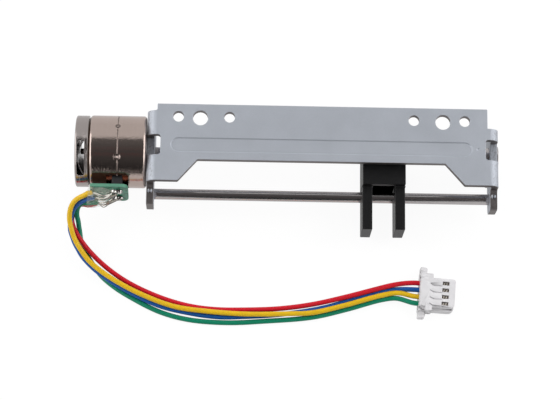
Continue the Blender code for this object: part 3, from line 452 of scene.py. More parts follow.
def zinc_finish(name):
    """Zinc-plated sheet: a satin grey with a fine grain, faint clouds and a drawn direction, and
    scuffed where it is bent at both ends."""
    f = Finish(name, (0.418, 0.443, 0.49), 0.45, 0.4)
    clouds = f.noise(4.0, detail=2)
    grain = f.noise(0.09, detail=4)
    drawn = f.noise(0.05, (0.12, 1, 1))
    x = f.node("SeparateXYZ", None, {0: f.node("TexCoord", out="Object")}, out=0)
    low, high = (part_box("bracket")[k][0] for k in (0, 1))
    bent = 1 - x.above(low + 0.8 * MM, low + 1.1 * MM) + x.above(high - 1.1 * MM, high - 0.8 * MM)
    scuffs = f.noise(0.22, (1, 0.6, 1), detail=3).above(0.52, 0.66) * bent
    even = f.shaded(clouds * 0.4 + grain * 0.6, 0.82, 1.17)
    f.set(Base_Color=f.blend(scuffs * 0.6, even, (0.2, 0.2, 0.21)),
          Roughness=0.4 + clouds * 0.06 + grain * 0.08)
    return f.bump(grain * 0.6 + drawn * 0.4 - scuffs * 1.6, 0.005, 0.6).material


def cut_steel_finish(name):
    """The sheet's punched edges: bare steel, smooth above and torn below."""
    f = Finish(name, (0.22, 0.2, 0.197), 0.42, 1.0)
    torn = f.noise(0.08, (1, 1, 0.25), detail=4)
    f.set(Base_Color=f.shaded(torn, 0.6, 1.25), Roughness=0.34 + torn * 0.22)
    return f.bump(torn, 0.012, 0.7).material


def ground_steel_finish(name):
    """Ground and polished shafting, with the fine lines of the grinding round it."""
    f = Finish(name, (0.57, 0.54, 0.54), 0.16, 1.0)
    lines = f.noise(0.04, (1, 0.04, 0.04), detail=2)
    clouds = f.noise(1.2, detail=2)
    f.set(Base_Color=f.shaded(clouds, 0.9, 1.06), Roughness=0.12 + lines * 0.1)
    return f.bump(lines, 0.0008, 0.5).material


def nickel_finish(name, colour, ringed, peeled):
    """Drawn and nickel-plated cans: a warm mirror with fine lines round it, as deep as ringed says,
    and an orange peel, as deep as peeled says. Their weld attribute paints shade round the spot welds: a dark
    ring that stands in for the pits' dark reflection."""
    f = Finish(name, colour, 0.08, 1.0)
    lines = f.noise(0.12, (1, 0.02, 0.02), detail=3)
    clouds = f.noise(2.0, detail=2)
    grain = f.noise(0.24, detail=3)
    # Painted shade: near black in a ring round each spot weld, standing in for the pits' dark reflection
    weld_shade = f.node("Attribute", {"attribute_name": "weld_shade"}, out="Fac")
    plain = f.shaded(clouds * 0.5 + lines * 0.5, 0.93, 1.06)
    f.set(Base_Color=f.blend(weld_shade, plain, (0.05, 0.042, 0.04)), Roughness=0.05 + lines * 0.1 + weld_shade * 0.2)
    return f.bump(lines * ringed + grain * peeled, 0.03, 1.0).material


def plastic_finish(name, colour, rough, grain=0.06, deep=0.004, sheen=0.35):
    """Moulded plastic with a fine spark-eroded grain and slight clouds."""
    f = Finish(name, colour, rough, Specular_IOR_Level=sheen)
    speckle = f.noise(grain, detail=4)
    clouds = f.noise(1.8, detail=2)
    f.set(Base_Color=f.shaded(clouds, 0.88, 1.1), Roughness=rough - 0.06 + speckle * 0.12)
    return f.bump(speckle, deep, 0.6).material


def metal_finish(name, colour, rough, grain=0.1, deep=0.004, shades=(0.8, 1.12), strength=0.6):
    """A cast, soldered, sintered or enamelled metal with an even grain."""
    f = Finish(name, colour, rough, 1.0)
    speckle = f.noise(grain, detail=3)
    f.set(Base_Color=f.shaded(speckle, *shades), Roughness=rough - 0.05 + speckle * 0.15)
    return f.bump(speckle, deep, strength).material


def jacket_finish(name, colour):
    """A wire's extruded jacket: smooth and a little waxy, with faint lines along it."""
    f = Finish(name, colour, 0.3, Specular_IOR_Level=0.3, Coat_Roughness=0.25)
    clouds = f.noise(1.5, detail=3)
    speckle = f.noise(0.12, detail=3)
    f.set(Base_Color=f.shaded(clouds, 0.85, 1.1), Roughness=0.25 + speckle * 0.12,
          Coat_Weight=0.05 + clouds * 0.08)
    return f.bump(speckle, 0.005, 0.5).material


def board_finish(name):
    """Solder mask over copper: a glossy green that is lighter over the tracks."""
    f = Finish(name, (0.012, 0.16, 0.095), 0.28, Coat_Roughness=0.12)
    tracks = f.noise(0.5, detail=0.5).above(0.46, 0.52)
    speckle = f.noise(0.08, detail=3)
    f.set(Base_Color=f.blend(tracks, (0.01, 0.12, 0.07), (0.02, 0.22, 0.13)), Roughness=0.22 + speckle * 0.15,
          Coat_Weight=0.35 + tracks * 0.2)
    return f.bump(tracks * 0.7 + speckle * 0.3, 0.012, 0.6).material


def glue_finish(name):
    """Clear hot glue: see-through, with a few milky streaks and a wet gloss."""
    f = Finish(name, (0.62, 0.68, 0.58), 0.1, Coat_Roughness=0.05)
    haze = f.noise(0.5, (0.5, 1, 1), detail=3)
    milky = haze.above(0.5, 0.72)
    f.set(Base_Color=f.shaded(haze, 0.8, 1.1), Roughness=0.08 + haze * 0.15, Alpha=0.2 + milky * 0.26,
          Coat_Weight=0.6 + haze * 0.3)
    return f.bump(f.noise(0.55, detail=2), 0.06, 0.9).material


def joint_finish(name):
    """Solder joints: bright, with dark patches of painted shade that stand in for their dark reflections."""
    f = Finish(name, (0.85, 0.83, 0.8), 0.16, 0.7)
    # Painted shade: dark, less metallic patches that stand in for the solder's dark reflections
    painted_dark = f.noise(0.3, detail=2).above(0.46, 0.54)
    f.set(Base_Color=f.blend(painted_dark, (0.9, 0.88, 0.84), (0.03, 0.022, 0.018)), Metallic=0.75 - painted_dark * 0.7,
          Roughness=0.14 + painted_dark * 0.15)
    return f.bump(f.noise(0.25, detail=2), 0.05, 1.0).material


LOOKS = {name: make(name, *values) for name, make, *values in (
    ("zinc_steel", zinc_finish),
    ("cut_steel", cut_steel_finish),
    ("bright_steel", ground_steel_finish),
    ("nickel", nickel_finish, (0.57, 0.465, 0.42), 0.2, 0.75),
    ("cap_nickel", nickel_finish, (0.45, 0.405, 0.39), 1.5, 0.5),
    ("black_acetal", plastic_finish, (0.007, 0.007, 0.0075), 0.38, 0.16, 0.04, 0.3),
    ("black_plastic", plastic_finish, (0.018, 0.018, 0.02), 0.45),
    ("bearing_plastic", plastic_finish, (0.17, 0.12, 0.08), 0.45),
    ("white_plastic", plastic_finish, (0.72, 0.71, 0.725), 0.4, 0.05, 0.003, 0.4),
    ("ferrite", metal_finish, (0.06, 0.06, 0.065), 0.5),
    ("brass", metal_finish, (0.68, 0.5, 0.24), 0.25, 0.06, 0.002),
    ("solder", metal_finish, (0.7, 0.67, 0.62), 0.14, 0.25, 0.03),
    ("contact_tin", metal_finish, (0.5, 0.44, 0.36), 0.22, 0.12, 0.006),
    ("copper", metal_finish, (0.5, 0.15, 0.06), 0.25, 0.5, 0.006, (0.7, 1.2), 0.5),
    ("board_green", board_finish),
    ("board_edge", plastic_finish, (0.09, 0.26, 0.175), 0.4, 0.1, 0.01),
    ("board_back", plastic_finish, (0.09, 0.05, 0.03), 0.5),
    # Painted light: the steel bush as a pale non-metal grey, so that it shows light in the window where it
    # lies in shade
    ("bush_steel", plastic_finish, (0.62, 0.62, 0.64), 0.3, 0.2, 0.03, 0.9),
    ("joint_solder", joint_finish),
    # Painted highlight: the contacts' tin springs as a pale non-metal colour, standing in for their bright
    # reflections
    ("contact_fold", plastic_finish, (0.8, 0.74, 0.66), 0.25, 0.1, 0.01, 0.9),
    ("glue", glue_finish),
    ("yellow_jacket", jacket_finish, (0.76, 0.47, 0.006)),
    ("blue_jacket", jacket_finish, (0.004, 0.085, 0.34)),
    ("green_jacket", jacket_finish, (0.001, 0.22, 0.12)),
    ("red_jacket", jacket_finish, (0.6, 0.006, 0.02)),
)}


# Camera

def make_camera():
    """Looks down on the plate, leaning back towards the guide rod's side and rolled a little."""
    lean, side, roll = (math.radians(a) for a in (CAMERA_LEAN, CAMERA_SIDE, CAMERA_ROLL))
    level_up = Vector((0, math.cos(lean), math.sin(lean)))
    upright = Vector((0, -math.sin(lean), math.cos(lean)))
    back = upright * math.cos(side) - Vector((1, 0, 0)) * math.sin(side)
    level_right = level_up.cross(back)
    right = level_right * math.cos(roll) + level_up * math.sin(roll)
    up = level_up * math.cos(roll) - level_right * math.sin(roll)
    turn = Matrix((right, up, back)).transposed().to_4x4()
    lens = bpy.data.cameras.new("camera")
    lens.sensor_width = SENSOR
    lens.lens = SENSOR * FOCAL_PIXELS / PHOTO_WIDE
    lens.clip_start, lens.clip_end = 0.01, 10
    camera = shown("camera", lens)
    target = Vector(at_slide(CAMERA_TARGET))
    camera.matrix_world = Matrix.Translation(target + back * CAMERA_AWAY * MM) @ turn
    bpy.context.scene.camera = camera


# Wires: the routes run from the glue to the plug, given point by point

ROUTES = {
    "yellow": [
        (-8.14, -6.71, 2.43), (-8.5, -6.85, 2.15), (-9.26, -7.1, 1.65), (-9.89, -7.5, 1.15),
        (-10.26, -7.99, 0.65), (-10.48, -8.59, 0.15), (-10.56, -9.29, -0.35), (-10.48, -10.08, -0.85),
        (-10.26, -10.88, -1.3), (-10.04, -11.62, -1.75), (-9.67, -12.37, -2.1), (-9.17, -13.17, -2.4),
        (-7.9, -14.81, -2.9), (-6.15, -16.25, -3.2), (-3.57, -17.85, -3.45), (-0.28, -19.44, -3.65),
        (4.0, -20.94, -3.8), (8.64, -21.54, -3.9), (13.97, -21.84, -3.9), (20.05, -21.69, -3.95),
        (23.24, -21.49, -3.95), (27.97, -20.31, -3.9), (32.73, -18.94, -3.8), (35.12, -18.55, -3.75),
        (37.31, -19.0, -3.71), (38.46, -19.07, -3.7)],
    "blue": [
        (-8.14, -7.23, 1.5), (-8.54, -7.3, 1.15), (-9.21, -7.55, 0.65), (-9.72, -7.89, 0.1),
        (-10.15, -8.39, -0.45), (-10.36, -9.04, -1.0), (-10.49, -9.88, -1.55), (-10.47, -10.83, -2.0),
        (-10.19, -11.62, -2.45), (-9.88, -12.41, -2.8), (-9.38, -13.26, -3.1), (-8.82, -14.15, -3.35),
        (-7.32, -15.69, -3.7), (-5.27, -17.19, -3.95), (-2.0, -19.03, -4.15), (1.99, -20.78, -4.35),
        (5.97, -21.68, -4.5), (10.0, -22.17, -4.6), (13.98, -22.07, -4.6), (19.27, -21.62, -4.65),
        (24.54, -20.72, -4.6), (29.66, -19.23, -4.45), (34.37, -18.05, -4.2), (37.37, -18.05, -3.71),
        (38.52, -18.13, -3.7)],
    "green": [
        (-8.22, -7.51, 0.6), (-8.54, -7.45, 0.35), (-9.06, -7.49, -0.15), (-9.42, -7.79, -0.65),
        (-9.6, -8.24, -1.2), (-9.62, -8.83, -1.7), (-9.44, -9.48, -2.25), (-9.37, -10.07, -2.75),
        (-9.24, -10.77, -3.2), (-9.13, -11.61, -3.6), (-8.88, -12.45, -3.85), (-8.52, -13.2, -4.1),
        (-7.52, -14.84, -4.4), (-6.23, -16.58, -4.6), (-4.34, -18.17, -4.65), (-2.07, -19.57, -4.65),
        (2.0, -21.57, -4.65), (6.03, -22.62, -4.65), (11.35, -22.97, -4.65), (16.63, -22.67, -4.65),
        (23.24, -22.02, -4.6), (28.02, -20.85, -4.5), (32.79, -19.48, -4.25), (34.88, -19.24, -4.1),
        (37.24, -19.94, -3.71), (38.39, -20.02, -3.7)],
    "red": [
        (-8.24, -7.54, -0.4), (-8.48, -7.44, -0.6), (-9.05, -7.34, -1.0), (-9.63, -7.59, -1.35),
        (-10.06, -8.14, -1.7), (-10.3, -8.83, -2.0), (-10.29, -9.63, -2.3), (-9.93, -10.62, -2.55),
        (-9.37, -11.57, -2.8), (-8.82, -12.26, -3.1), (-8.21, -13.01, -3.35), (-6.71, -14.49, -3.85),
        (-4.81, -16.04, -4.15), (-2.12, -17.73, -4.4), (1.95, -19.52, -4.55), (5.98, -20.67, -4.6),
        (9.66, -21.12, -4.6), (13.94, -21.12, -4.6), (18.71, -20.87, -4.55), (23.24, -20.23, -4.4),
        (27.91, -19.15, -4.1), (31.94, -18.06, -3.9), (34.27, -17.46, -3.8), (36.06, -17.17, -3.75),
        (37.44, -17.1, -3.71), (38.59, -17.18, -3.7)],
}

# Each wire's end in the glue, (sideways, away from the screw, along it), and its joint's place
# on the board, (along from the board's middle, across)
WIRE_ENDS = {
    "yellow": (1.25, 7.0, -7.35, -0.38, 1.0),
    "blue": (0.2, 7.2, -7.1, 0.38, 0.7),
    "green": (-1.1, 7.3, -6.7, -0.38, -0.8),
    "red": (-2.0, 7.0, -6.9, 0.38, -1.0),
}


def make_wires():
    """A round curve along each route, on the frame."""
    for colour, route in ROUTES.items():
        points = smooth_line(route, 0.5)
        line = bpy.data.curves.new("lead_" + colour, "CURVE")
        line.dimensions = "3D"
        line.bevel_depth = WIRE_RADIUS * MM
        line.bevel_resolution = 6
        line.use_fill_caps = True
        spline = line.splines.new("POLY")
        spline.points.add(len(points) - 1)
        spline.points.foreach_set("co", np.column_stack((at_slide(points), np.ones(len(points)))).ravel())
        spline.use_smooth = True
        line.materials.append(LOOKS[colour + "_jacket"])
        lead = shown("lead_" + colour, line)
        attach(lead, "frame")
        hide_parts("wire_" + colour)


# Bracket and shafts

def make_bracket():
    """The folded sheet. Faces along the sheet's thickness are its bare cut edges, but for the
    windows' lower edges, which the plating covers."""
    mesh = softened("folded_bracket", "bracket", "zinc_steel", 0.055).data
    mesh.materials.append(LOOKS["cut_steel"])
    normals, centres = np.empty((2, len(mesh.polygons) * 3))
    mesh.polygons.foreach_get("normal", normals)
    mesh.polygons.foreach_get("center", centres)
    normals = np.abs(normals.reshape(-1, 3))
    _, sideways, height = (centres.reshape(-1, 3) / MM - ORIGIN).T
    plate = height > PLATE_TOP - SHEET - 0.3
    edges = np.where(plate, (normals[:, 2] < 0.3) & (normals[:, 0] < 0.99), normals[:, 0] < 0.3)
    window_floor = ~plate & (normals[:, 2] >= 0.9) & (height >= 2) & (np.abs(sideways) <= 1.45)
    mesh.polygons.foreach_set("material_index", (edges & ~window_floor).astype(np.int32))


def make_rod():
    """A ground pin with rounded ends."""
    low, high = 0.03, BRACKET_LONG - 0.03
    outline = rounded([(low, 0), (low, ROD_RADIUS), (high, ROD_RADIUS), (high, 0)], (0, 0.14, 0.14, 0))
    grid = turned_grid(outline, full_turn(64)) + (0, ROD_Y, 0)
    surface("guide_pin", grid, "bright_steel", wrap=(True, True), instead_of="guide_rod")


def make_screw():
    """One turned shaft. Its thread takes a rounded groove off the radius, at the phase
    x / pitch - turn * starts / (a full turn), which makes a right-hand thread of two starts."""
    rear = rounded([(SCREW_REAR, 0), (SCREW_REAR, REAR_PIVOT_RADIUS), (PIVOT_SHOULDER, REAR_PIVOT_RADIUS),
                    (PIVOT_SHOULDER, JOURNAL_RADIUS), (THREAD_START, JOURNAL_RADIUS)],
                   (0, 0.2, 0.04, 0.06, 0))[5:-5]
    tip = rounded([(THREAD_END, JOURNAL_RADIUS), (THREAD_END, END_PIVOT_RADIUS),
                   (SCREW_TIP, END_PIVOT_RADIUS), (SCREW_TIP, -1)], (0.04, 0.04, 0.2, 0))[:15]
    x = np.arange(THREAD_START, THREAD_END, 0.042)[:, None]
    turns = full_turn(48)
    phase = (x / THREAD_PITCH - turns * THREAD_STARTS / TAU) % 1
    groove = np.clip(1.5 - np.abs(phase - 0.5) * 4.4, 0, 1)
    groove = groove ** 2 * (3 - 2 * groove)
    fade = np.clip(np.minimum(x - THREAD_START, THREAD_END - x) / 0.35, 0, 1)
    radius = JOURNAL_RADIUS + (THREAD_RADIUS - JOURNAL_RADIUS) * fade - THREAD_DEEP * groove * fade
    parts = (turned_grid([(SCREW_REAR, 0), *rear], turns), round_points(x, radius, turns),
             turned_grid([*tip, (SCREW_TIP, 0)], turns))
    surface("threaded_shaft", np.concatenate(parts), "bright_steel", body="screw", instead_of="lead_screw",
            sharp=50)


def make_bearings():
    """A bush in the motor's end, a plate with a boss behind the motor and a cup in the far end."""
    # The bush's pale look is painted light
    turned("bush",
           rounded([(-0.43, 0.79), (-0.43, 2.4), (-0.03, 2.4), (-0.03, 1.5), (1.05, 1.5), (1.05, 0.79)],
                   (0.05, 0.08, 0.03, 0.03, 0.1, 0.12)),
           "bush_steel", slot="nickel", instead_of="front_bearing")
    back, boss = CAN_REAR - 0.03, PIVOT_SHOULDER - 0.07
    turned("rear_bearing_plate",
           rounded([(back - 0.45, 0.44), (back - 0.45, 4.3), (back, 4.3), (back, 2.82), (boss, 2.82),
                    (boss, 0.44)], (0.05, 0.12, 0.04, 0.04, 0.08, 0.05)),
           "bearing_plastic", instead_of="rear_bearing")
    inner, collar, tip = BRACKET_LONG - 1.5, BRACKET_LONG + 0.03, SCREW_TIP + 0.04
    turned("end_bearing_cup",
           rounded([(inner, 0.54), (inner, 1.45), (collar, 1.45), (collar, 1.7), (collar + 0.27, 1.7),
                    (collar + 0.27, 0), (tip, 0), (tip, 0.54)], (0.06, 0.12, 0.03, 0.03, 0.1, 0, 0, 0.03)),
           "bright_steel", instead_of="end_bearing")


# Motor

def solid_shell(thing, wall, edge, offset=-1):
    """Gives a skin its wall, and rounds the wall's edges."""
    thick = thing.modifiers.new("wall", "SOLIDIFY")
    thick.thickness = wall * MM
    thick.offset = offset
    thick.use_even_offset = True
    round_edges(thing, edge, 2, 40).harden_normals = True


def open_skin(name, grid, keep, look, **more):
    """A skin over a grid that is closed round its columns, without the faces that keep leaves out.
    Its faces are turned away from the screw's axis."""
    mesh = tidy_mesh(name, grid.reshape(-1, 3), grid_faces(*grid.shape[:2], False, True)[keep.ravel()])
    axis = Vector(ORIGIN * MM)
    outermost = max(mesh.polygons, key=lambda face: (face.center - axis).yz.length)
    if outermost.normal.yz.dot((outermost.center - axis).yz) < 0:
        mesh.flip_normals()
    return piece(name, mesh, look, **more)


def from_welds(x, turns):
    """How far points of the can's skin lie from each spot weld on the seam."""
    return [np.hypot(x - CAN_SEAM, off_turn(turns, centre) * CAN_RADIUS) for centre in WELD_TURNS]


def weld_pits(x, turns):
    """How deep the spot welds sink in at each point: a cosine bowl WELD_RADIUS wide, with a low rim
    round it, 0.02 * exp(-((distance - 0.48) / 0.07) ** 2)."""
    return sum(WELD_DEEP * (0.5 + 0.5 * np.cos(np.clip(distance / WELD_RADIUS, 0, 1) * math.pi))
               - 0.02 * np.exp(-((distance - 0.48) / 0.07) ** 2) for distance in from_welds(x, turns))


def paint_weld_shade(mesh):
    """Fills the weld attribute with painted shade: a dark ring round each spot weld, exp(-((distance - 0.25)
    / 0.1) ** 2), that stands in for the pits' dark reflection.
    """
    spots = np.empty(len(mesh.vertices) * 3)
    mesh.vertices.foreach_get("co", spots)
    x, y, z = (spots.reshape(-1, 3) / MM - ORIGIN).T
    weld_shade = sum(np.exp(-((distance - 0.25) / 0.1) ** 2) for distance in from_welds(x, np.arctan2(z, y)))
    mesh.attributes.new("weld_shade", "FLOAT", "POINT").data.foreach_set("value", np.clip(weld_shade * 0.9, 0, 1))


def can_turns():
    """Angles round a can: close together at the window's sides and at the welds."""
    turns = list(full_turn(180))
    for centre in WELD_TURNS:
        turns += list(centre % TAU + np.linspace(-0.12, 0.12, 25))
    turns += [TERMINAL_ANGLE - CAN_WINDOW_TURN, TERMINAL_ANGLE + CAN_WINDOW_TURN]
    return np.unique(np.round(np.array(turns) % TAU, 4))


def between(turns):
    """The angles halfway from each angle to the next one."""
    return turns + np.diff(np.append(turns, turns[0] + TAU)) / 2


def make_can(name, node, x_end, x_seam):
    """A drawn cup: its end wall, a rolled corner and the cylinder up to the seam, where its edge
    draws in a little. The terminals' window is cut out."""
    way = 1 if x_seam > x_end else -1
    bend = [(x_end + way * CAN_BEND * (1 - math.sin(a)), CAN_RADIUS - CAN_BEND * (1 - math.cos(a)))
            for a in np.linspace(math.pi / 2, 0, 8)]
    window = TERMINAL_X - way * CAN_WINDOW_HALF_X
    barrel = np.concatenate((np.linspace(x_end + way * 0.45, window, 8),
                             np.linspace(window, x_seam - way * 0.55, 5)[1:],
                             np.linspace(x_seam - way * 0.5, x_seam - way * 0.04, 20)))
    profile = [(x_end, r) for r in (CAN_OPENING, 3.2, 3.8, 4.4)] + bend
    profile += [(x, CAN_RADIUS) for x in barrel] + [(x_seam, CAN_RADIUS - 0.035)]
    turns = can_turns()
    grid = turned_grid(profile, turns)
    x, radius = np.array(profile).T
    sunk = weld_pits(x[:, None], turns) * (radius > CAN_RADIUS - 0.1)[:, None]
    grid[..., 1:] *= (1 - sunk / radius[:, None])[..., None]
    beside = np.abs((x[:-1] + x[1:]) / 2 - TERMINAL_X) < CAN_WINDOW_HALF_X
    keep = ~(beside[:, None] & (np.abs(off_turn(between(turns), TERMINAL_ANGLE)) < CAN_WINDOW_TURN))
    can = open_skin(name, grid, keep, "nickel", instead_of=node)
    # Painted shade round the spot welds
    paint_weld_shade(can.data)
    solid_shell(can, CAN_WALL, 0.03)


def claw_teeth(name, x_root, x_tip, first, ring_radius=None, **more):
    """Claw teeth: each is a curved plate that narrows evenly from its root's half angle to its
    tip's. A pole ring carries them where ring_radius is given."""
    inner, outer = TOOTH_RADII
    wide, narrow = TOOTH_HALF_ANGLES
    share = np.linspace(0, 1, 7)[:, None]
    half = np.radians(wide + (narrow - wide) * share)
    patches = []
    for k in range(TEETH):
        turn = first + TAU * k / TEETH + half * np.linspace(-1, 1, 7)
        skins = [round_points(x_root + (x_tip - x_root) * share, r, turn) for r in (outer, inner)]
        patches.append(patch(np.concatenate((skins[0], skins[1][:, ::-1]), axis=1), caps=(0, -1)))
    if ring_radius:
        back = x_root - math.copysign(YOKE_WALL, x_tip - x_root)
        ring = rounded([(x_root, inner), (x_root, ring_radius), (back, ring_radius), (back, inner)], 0.03, 3)
        patches.append(patch(turned_grid(ring, full_turn(72)), (True, True)))
    patched(name, patches, "nickel", **more)


def make_winding(side, x_low, x_high):
    """A bobbin and its coil. The coil's skin is a row of round wires: the outer radius less
    0.04 * (1 - |cos(pi * x / wire)|), where x moves on by one wire a turn, lifted by two slow sines
    where its layers cross."""
    bore, core, flange = BOBBIN_RADII
    wall_low, wall_high = x_low + BOBBIN_WALL, x_high - BOBBIN_WALL
    bobbin = [(x_low, bore), (x_low, flange), (wall_low, flange), (wall_low, core), (wall_high, core),
              (wall_high, flange), (x_high, flange), (x_high, bore)]
    turned(side + "_spool", rounded(bobbin, 0.04, 3), "black_plastic", instead_of=side + "_bobbin")
    low, high = x_low + 0.31, x_high - 0.31
    x = np.linspace(low, high, round((high - low) / WINDING_WIRE) * 8 + 1)[:, None]
    turns = full_turn(96)
    inner, outer = COIL_RADII
    bulge = 1 - np.abs(np.cos((x + WINDING_WIRE * turns / TAU) * math.pi / WINDING_WIRE))
    skin = round_points(x, outer - 0.04 * bulge + 0.03 * np.sin(turns * 3 + 1) * np.sin(x * 2.3), turns)
    hidden = turned_grid([(high, inner), (low, inner)], turns)
    surface(side + "_winding", np.concatenate((skin, hidden)), "copper", wrap=(True, True),
            instead_of=side + "_coil", sharp=60)


def make_motor():
    """Two cans back to back, each with its claw teeth, a pole ring whose teeth stand between them,
    a bobbin and a coil. The four rows of teeth are a quarter of a tooth's step apart."""
    step = TAU / TEETH / 4
    for side, way, end, row in (("front", -1, CAN_FRONT, 0), ("rear", 1, CAN_REAR, 1)):
        seam = CAN_SEAM - way * 0.015
        root, face = end + way * CAN_WALL, seam - way * YOKE_WALL
        make_can(side + "_can", side + "_stator_cup", end, seam)
        claw_teeth(side + "_can_teeth", root, root + way * TOOTH_LONG, row * step)
        claw_teeth(side + "_pole_ring", face, face - way * (TOOTH_LONG - 0.2), (row + 2) * step, YOKE_RADIUS,
                   instead_of=side + "_inner_yoke")
        make_winding(side, *sorted((root + way * 0.06, face - way * 0.06)))
    turned("magnet_ring", rounded(box_outline(*MAGNET), 0.12), "ferrite", body="screw",
           instead_of="rotor_magnet")
    turned("magnet_hub", rounded(box_outline(*HUB), 0.05), "brass", body="screw", instead_of="rotor_hub")


def make_end_cap():
    """The cap: its end wall, a chamfered corner and a skirt with two slots. Two rows of the skirt's
    grid are the slots' long edges. Towards a slot's ends they draw together by a corner's rise,
    r - sqrt(r * r - d * d)."""
    corner = [(CAP_REAR, 0), (CAP_REAR, 2.0), (CAP_REAR, 3.6), (CAP_REAR, CAP_RADIUS - 0.24),
              (CAP_REAR + 0.03, CAP_RADIUS - 0.15), (CAP_REAR + 0.1, CAP_RADIUS - 0.05),
              (CAP_REAR + 0.2, CAP_RADIUS)]
    profile = corner + [(x, CAP_RADIUS) for x in (SLOT_X[0] - 0.1, *SLOT_X, SLOT_X[1] + 0.1, CAP_FRONT)]
    near, far = len(corner) + 1, len(corner) + 2
    slot_turn, corner_turn = math.asin(SLOT_HALF / CAP_RADIUS), SLOT_CORNER / CAP_RADIUS
    middles = (math.pi / 2 + CAP_LEAN, 3 * math.pi / 2 + CAP_LEAN)
    ends = slot_turn - corner_turn * np.array((1.0, 0.75, 0.5, 0.3, 0.15, 0.05, 0.0))
    turns = list(full_turn(144))
    for middle in middles:
        turns += [*(middle + ends), *(middle - ends)]
    turns = np.unique(np.round(np.array(turns) % TAU, 4))
    grid = turned_grid(profile, turns)
    away = np.min([np.abs(off_turn(turns, middle)) for middle in middles], axis=0)
    into_corner = np.clip((away - slot_turn + corner_turn) / corner_turn, 0, 1) * SLOT_CORNER
    rise = SLOT_CORNER - np.sqrt(np.maximum(SLOT_CORNER ** 2 - into_corner ** 2, 0))
    grid[near, :, 0] += rise
    grid[far, :, 0] -= rise
    keep = np.ones((len(profile) - 1, len(turns)), bool)
    for middle in middles:
        keep[near] &= np.abs(off_turn(between(turns), middle)) > slot_turn
    cap = open_skin("motor_cap", grid, keep, "cap_nickel", slot="nickel", instead_of="rear_end_cap")
    solid_shell(cap, CAP_WALL, 0.04)


def make_leaf():
    """The cap's leaf spring. It bows as x = LEAF_BOW * share ** 2, share running from -1 to 1."""
    share, wide = np.meshgrid(np.linspace(-1, 1, 25), np.linspace(-4.2, 4.2, 9), indexing="ij")
    x, along = CAP_REAR + 0.405 + LEAF_BOW * share ** 2, 2.3 * share
    c, s = math.cos(CAP_LEAN), math.sin(CAP_LEAN)
    grid = np.stack((x, along * c - wide * s, along * s + wide * c), axis=-1)
    leaf = surface("leaf_spring", grid, "bright_steel", wrap=(False, False), instead_of="thrust_spring")
    solid_shell(leaf, 0.15, 0.03, 0)


# Terminals

def leaning_slab(name, outline, low, high, edge, look, **more):
    """A slab that faces away from the screw, between two distances from it."""
    return surface(name, leaning(slab_grid(outline, low, high, edge)), look, caps=(0, -1), **more)


def make_terminals():
    """A riser on the can, a board whose face, rim and back differ, and four pins in solder."""
    riser = rounded(box_outline(TERMINAL_X - 0.72, TERMINAL_X + 0.72, -1.55, 1.55), 0.12)
    leaning_slab("terminal_riser", riser, 4.48, BOARD_LOW - 0.03, 0.05, "black_plastic",
                 instead_of="terminal_block")
    outline = rounded(box_outline(-7.67, -2.47, -2.2, 2.2), (0.15, 0.8, 0.8, 0.15), 8)
    board = leaning_slab("circuit_board", outline, BOARD_LOW, BOARD_TOP, 0.04, "board_green",
                         instead_of="terminal_board").data
    board.materials.append(LOOKS["board_edge"])
    board.materials.append(LOOKS["board_back"])
    out = Vector((0, math.cos(TERMINAL_ANGLE), math.sin(TERMINAL_ANGLE)))
    for face in board.polygons:
        away = face.normal.dot(out)
        face.material_index = 0 if away > 0.9 else 2 if away < -0.9 else 1
    pin = [(0.0, 4.9), (0.15, 4.9), (0.15, 6.92), (0.11, 7.0), (0.0, 7.0)]
    cone = [(0.16, 6.53), (0.46, 6.53), (0.47, 6.6), (0.42, 6.72), (0.34, 6.84), (0.24, 6.93), (0.16, 6.97)]
    spots = [(TERMINAL_X + row * 0.38, side, 0) for side in (1, -1) for row in (-1, 1)]
    for number, spot in enumerate(spots, 1):
        for kind, profile, node in (("pin", pin, "terminal_pin_"), ("solder", cone, "solder_joint_")):
            upright = turned_grid([(away, r) for r, away in profile], full_turn(24))[..., (1, 2, 0)]
            surface(f"{kind}_{number}", leaning(upright + spot), "joint_solder",
                    wrap=(kind == "solder", True), slot="solder", instead_of=f"{node}{number}")


def make_glue():
    """A drop on the board: half rounds across it, cos and sin to the power of 3/4, whose size
    follows the drop's length and whose skin swells and sinks by two sines of both parameters."""
    share = np.concatenate(([0, 0.02, 0.06], np.linspace(0.12, 1, 40)))[:, None]
    size = np.interp(share, (0, 0.05, 0.2, 0.45, 0.65, 0.82, 0.94, 1),
                     (0.8, 0.95, 1, 0.97, 0.85, 0.62, 0.36, 0.1))
    turn = np.linspace(0, math.pi, 49)
    lump = 1 + 0.03 * np.sin(15 * share + 4 * turn) + 0.02 * np.sin(9 * turn + 11 * share)
    half = 2.35 * (0.55 + 0.45 * size) * lump
    sideways = -0.25 + half * np.sign(np.cos(turn)) * np.abs(np.cos(turn)) ** 0.75
    away = BOARD_TOP + 0.03 + 1.5 * size * lump * np.sin(turn) ** 0.75
    x = -8.0 + 3.2 * share + 0.14 * (sideways - 1.2)
    surface("hot_glue", leaning(np.stack((x, sideways, away), axis=-1)), "glue", caps=(0, -1),
            instead_of="glue_drop", sharp=60)


def bars(name, paths, radius, look, steps, **more):
    """Round bars along several paths, in one mesh: the section's points are
    (radius * cos(turn), radius * sin(turn)) to the side and up."""
    turns = full_turn(steps)
    section = radius * np.stack((np.cos(turns), np.sin(turns)), axis=-1)
    return patched(name, [patch(carried(path, section), caps=(0, -1)) for path in paths], look, **more)


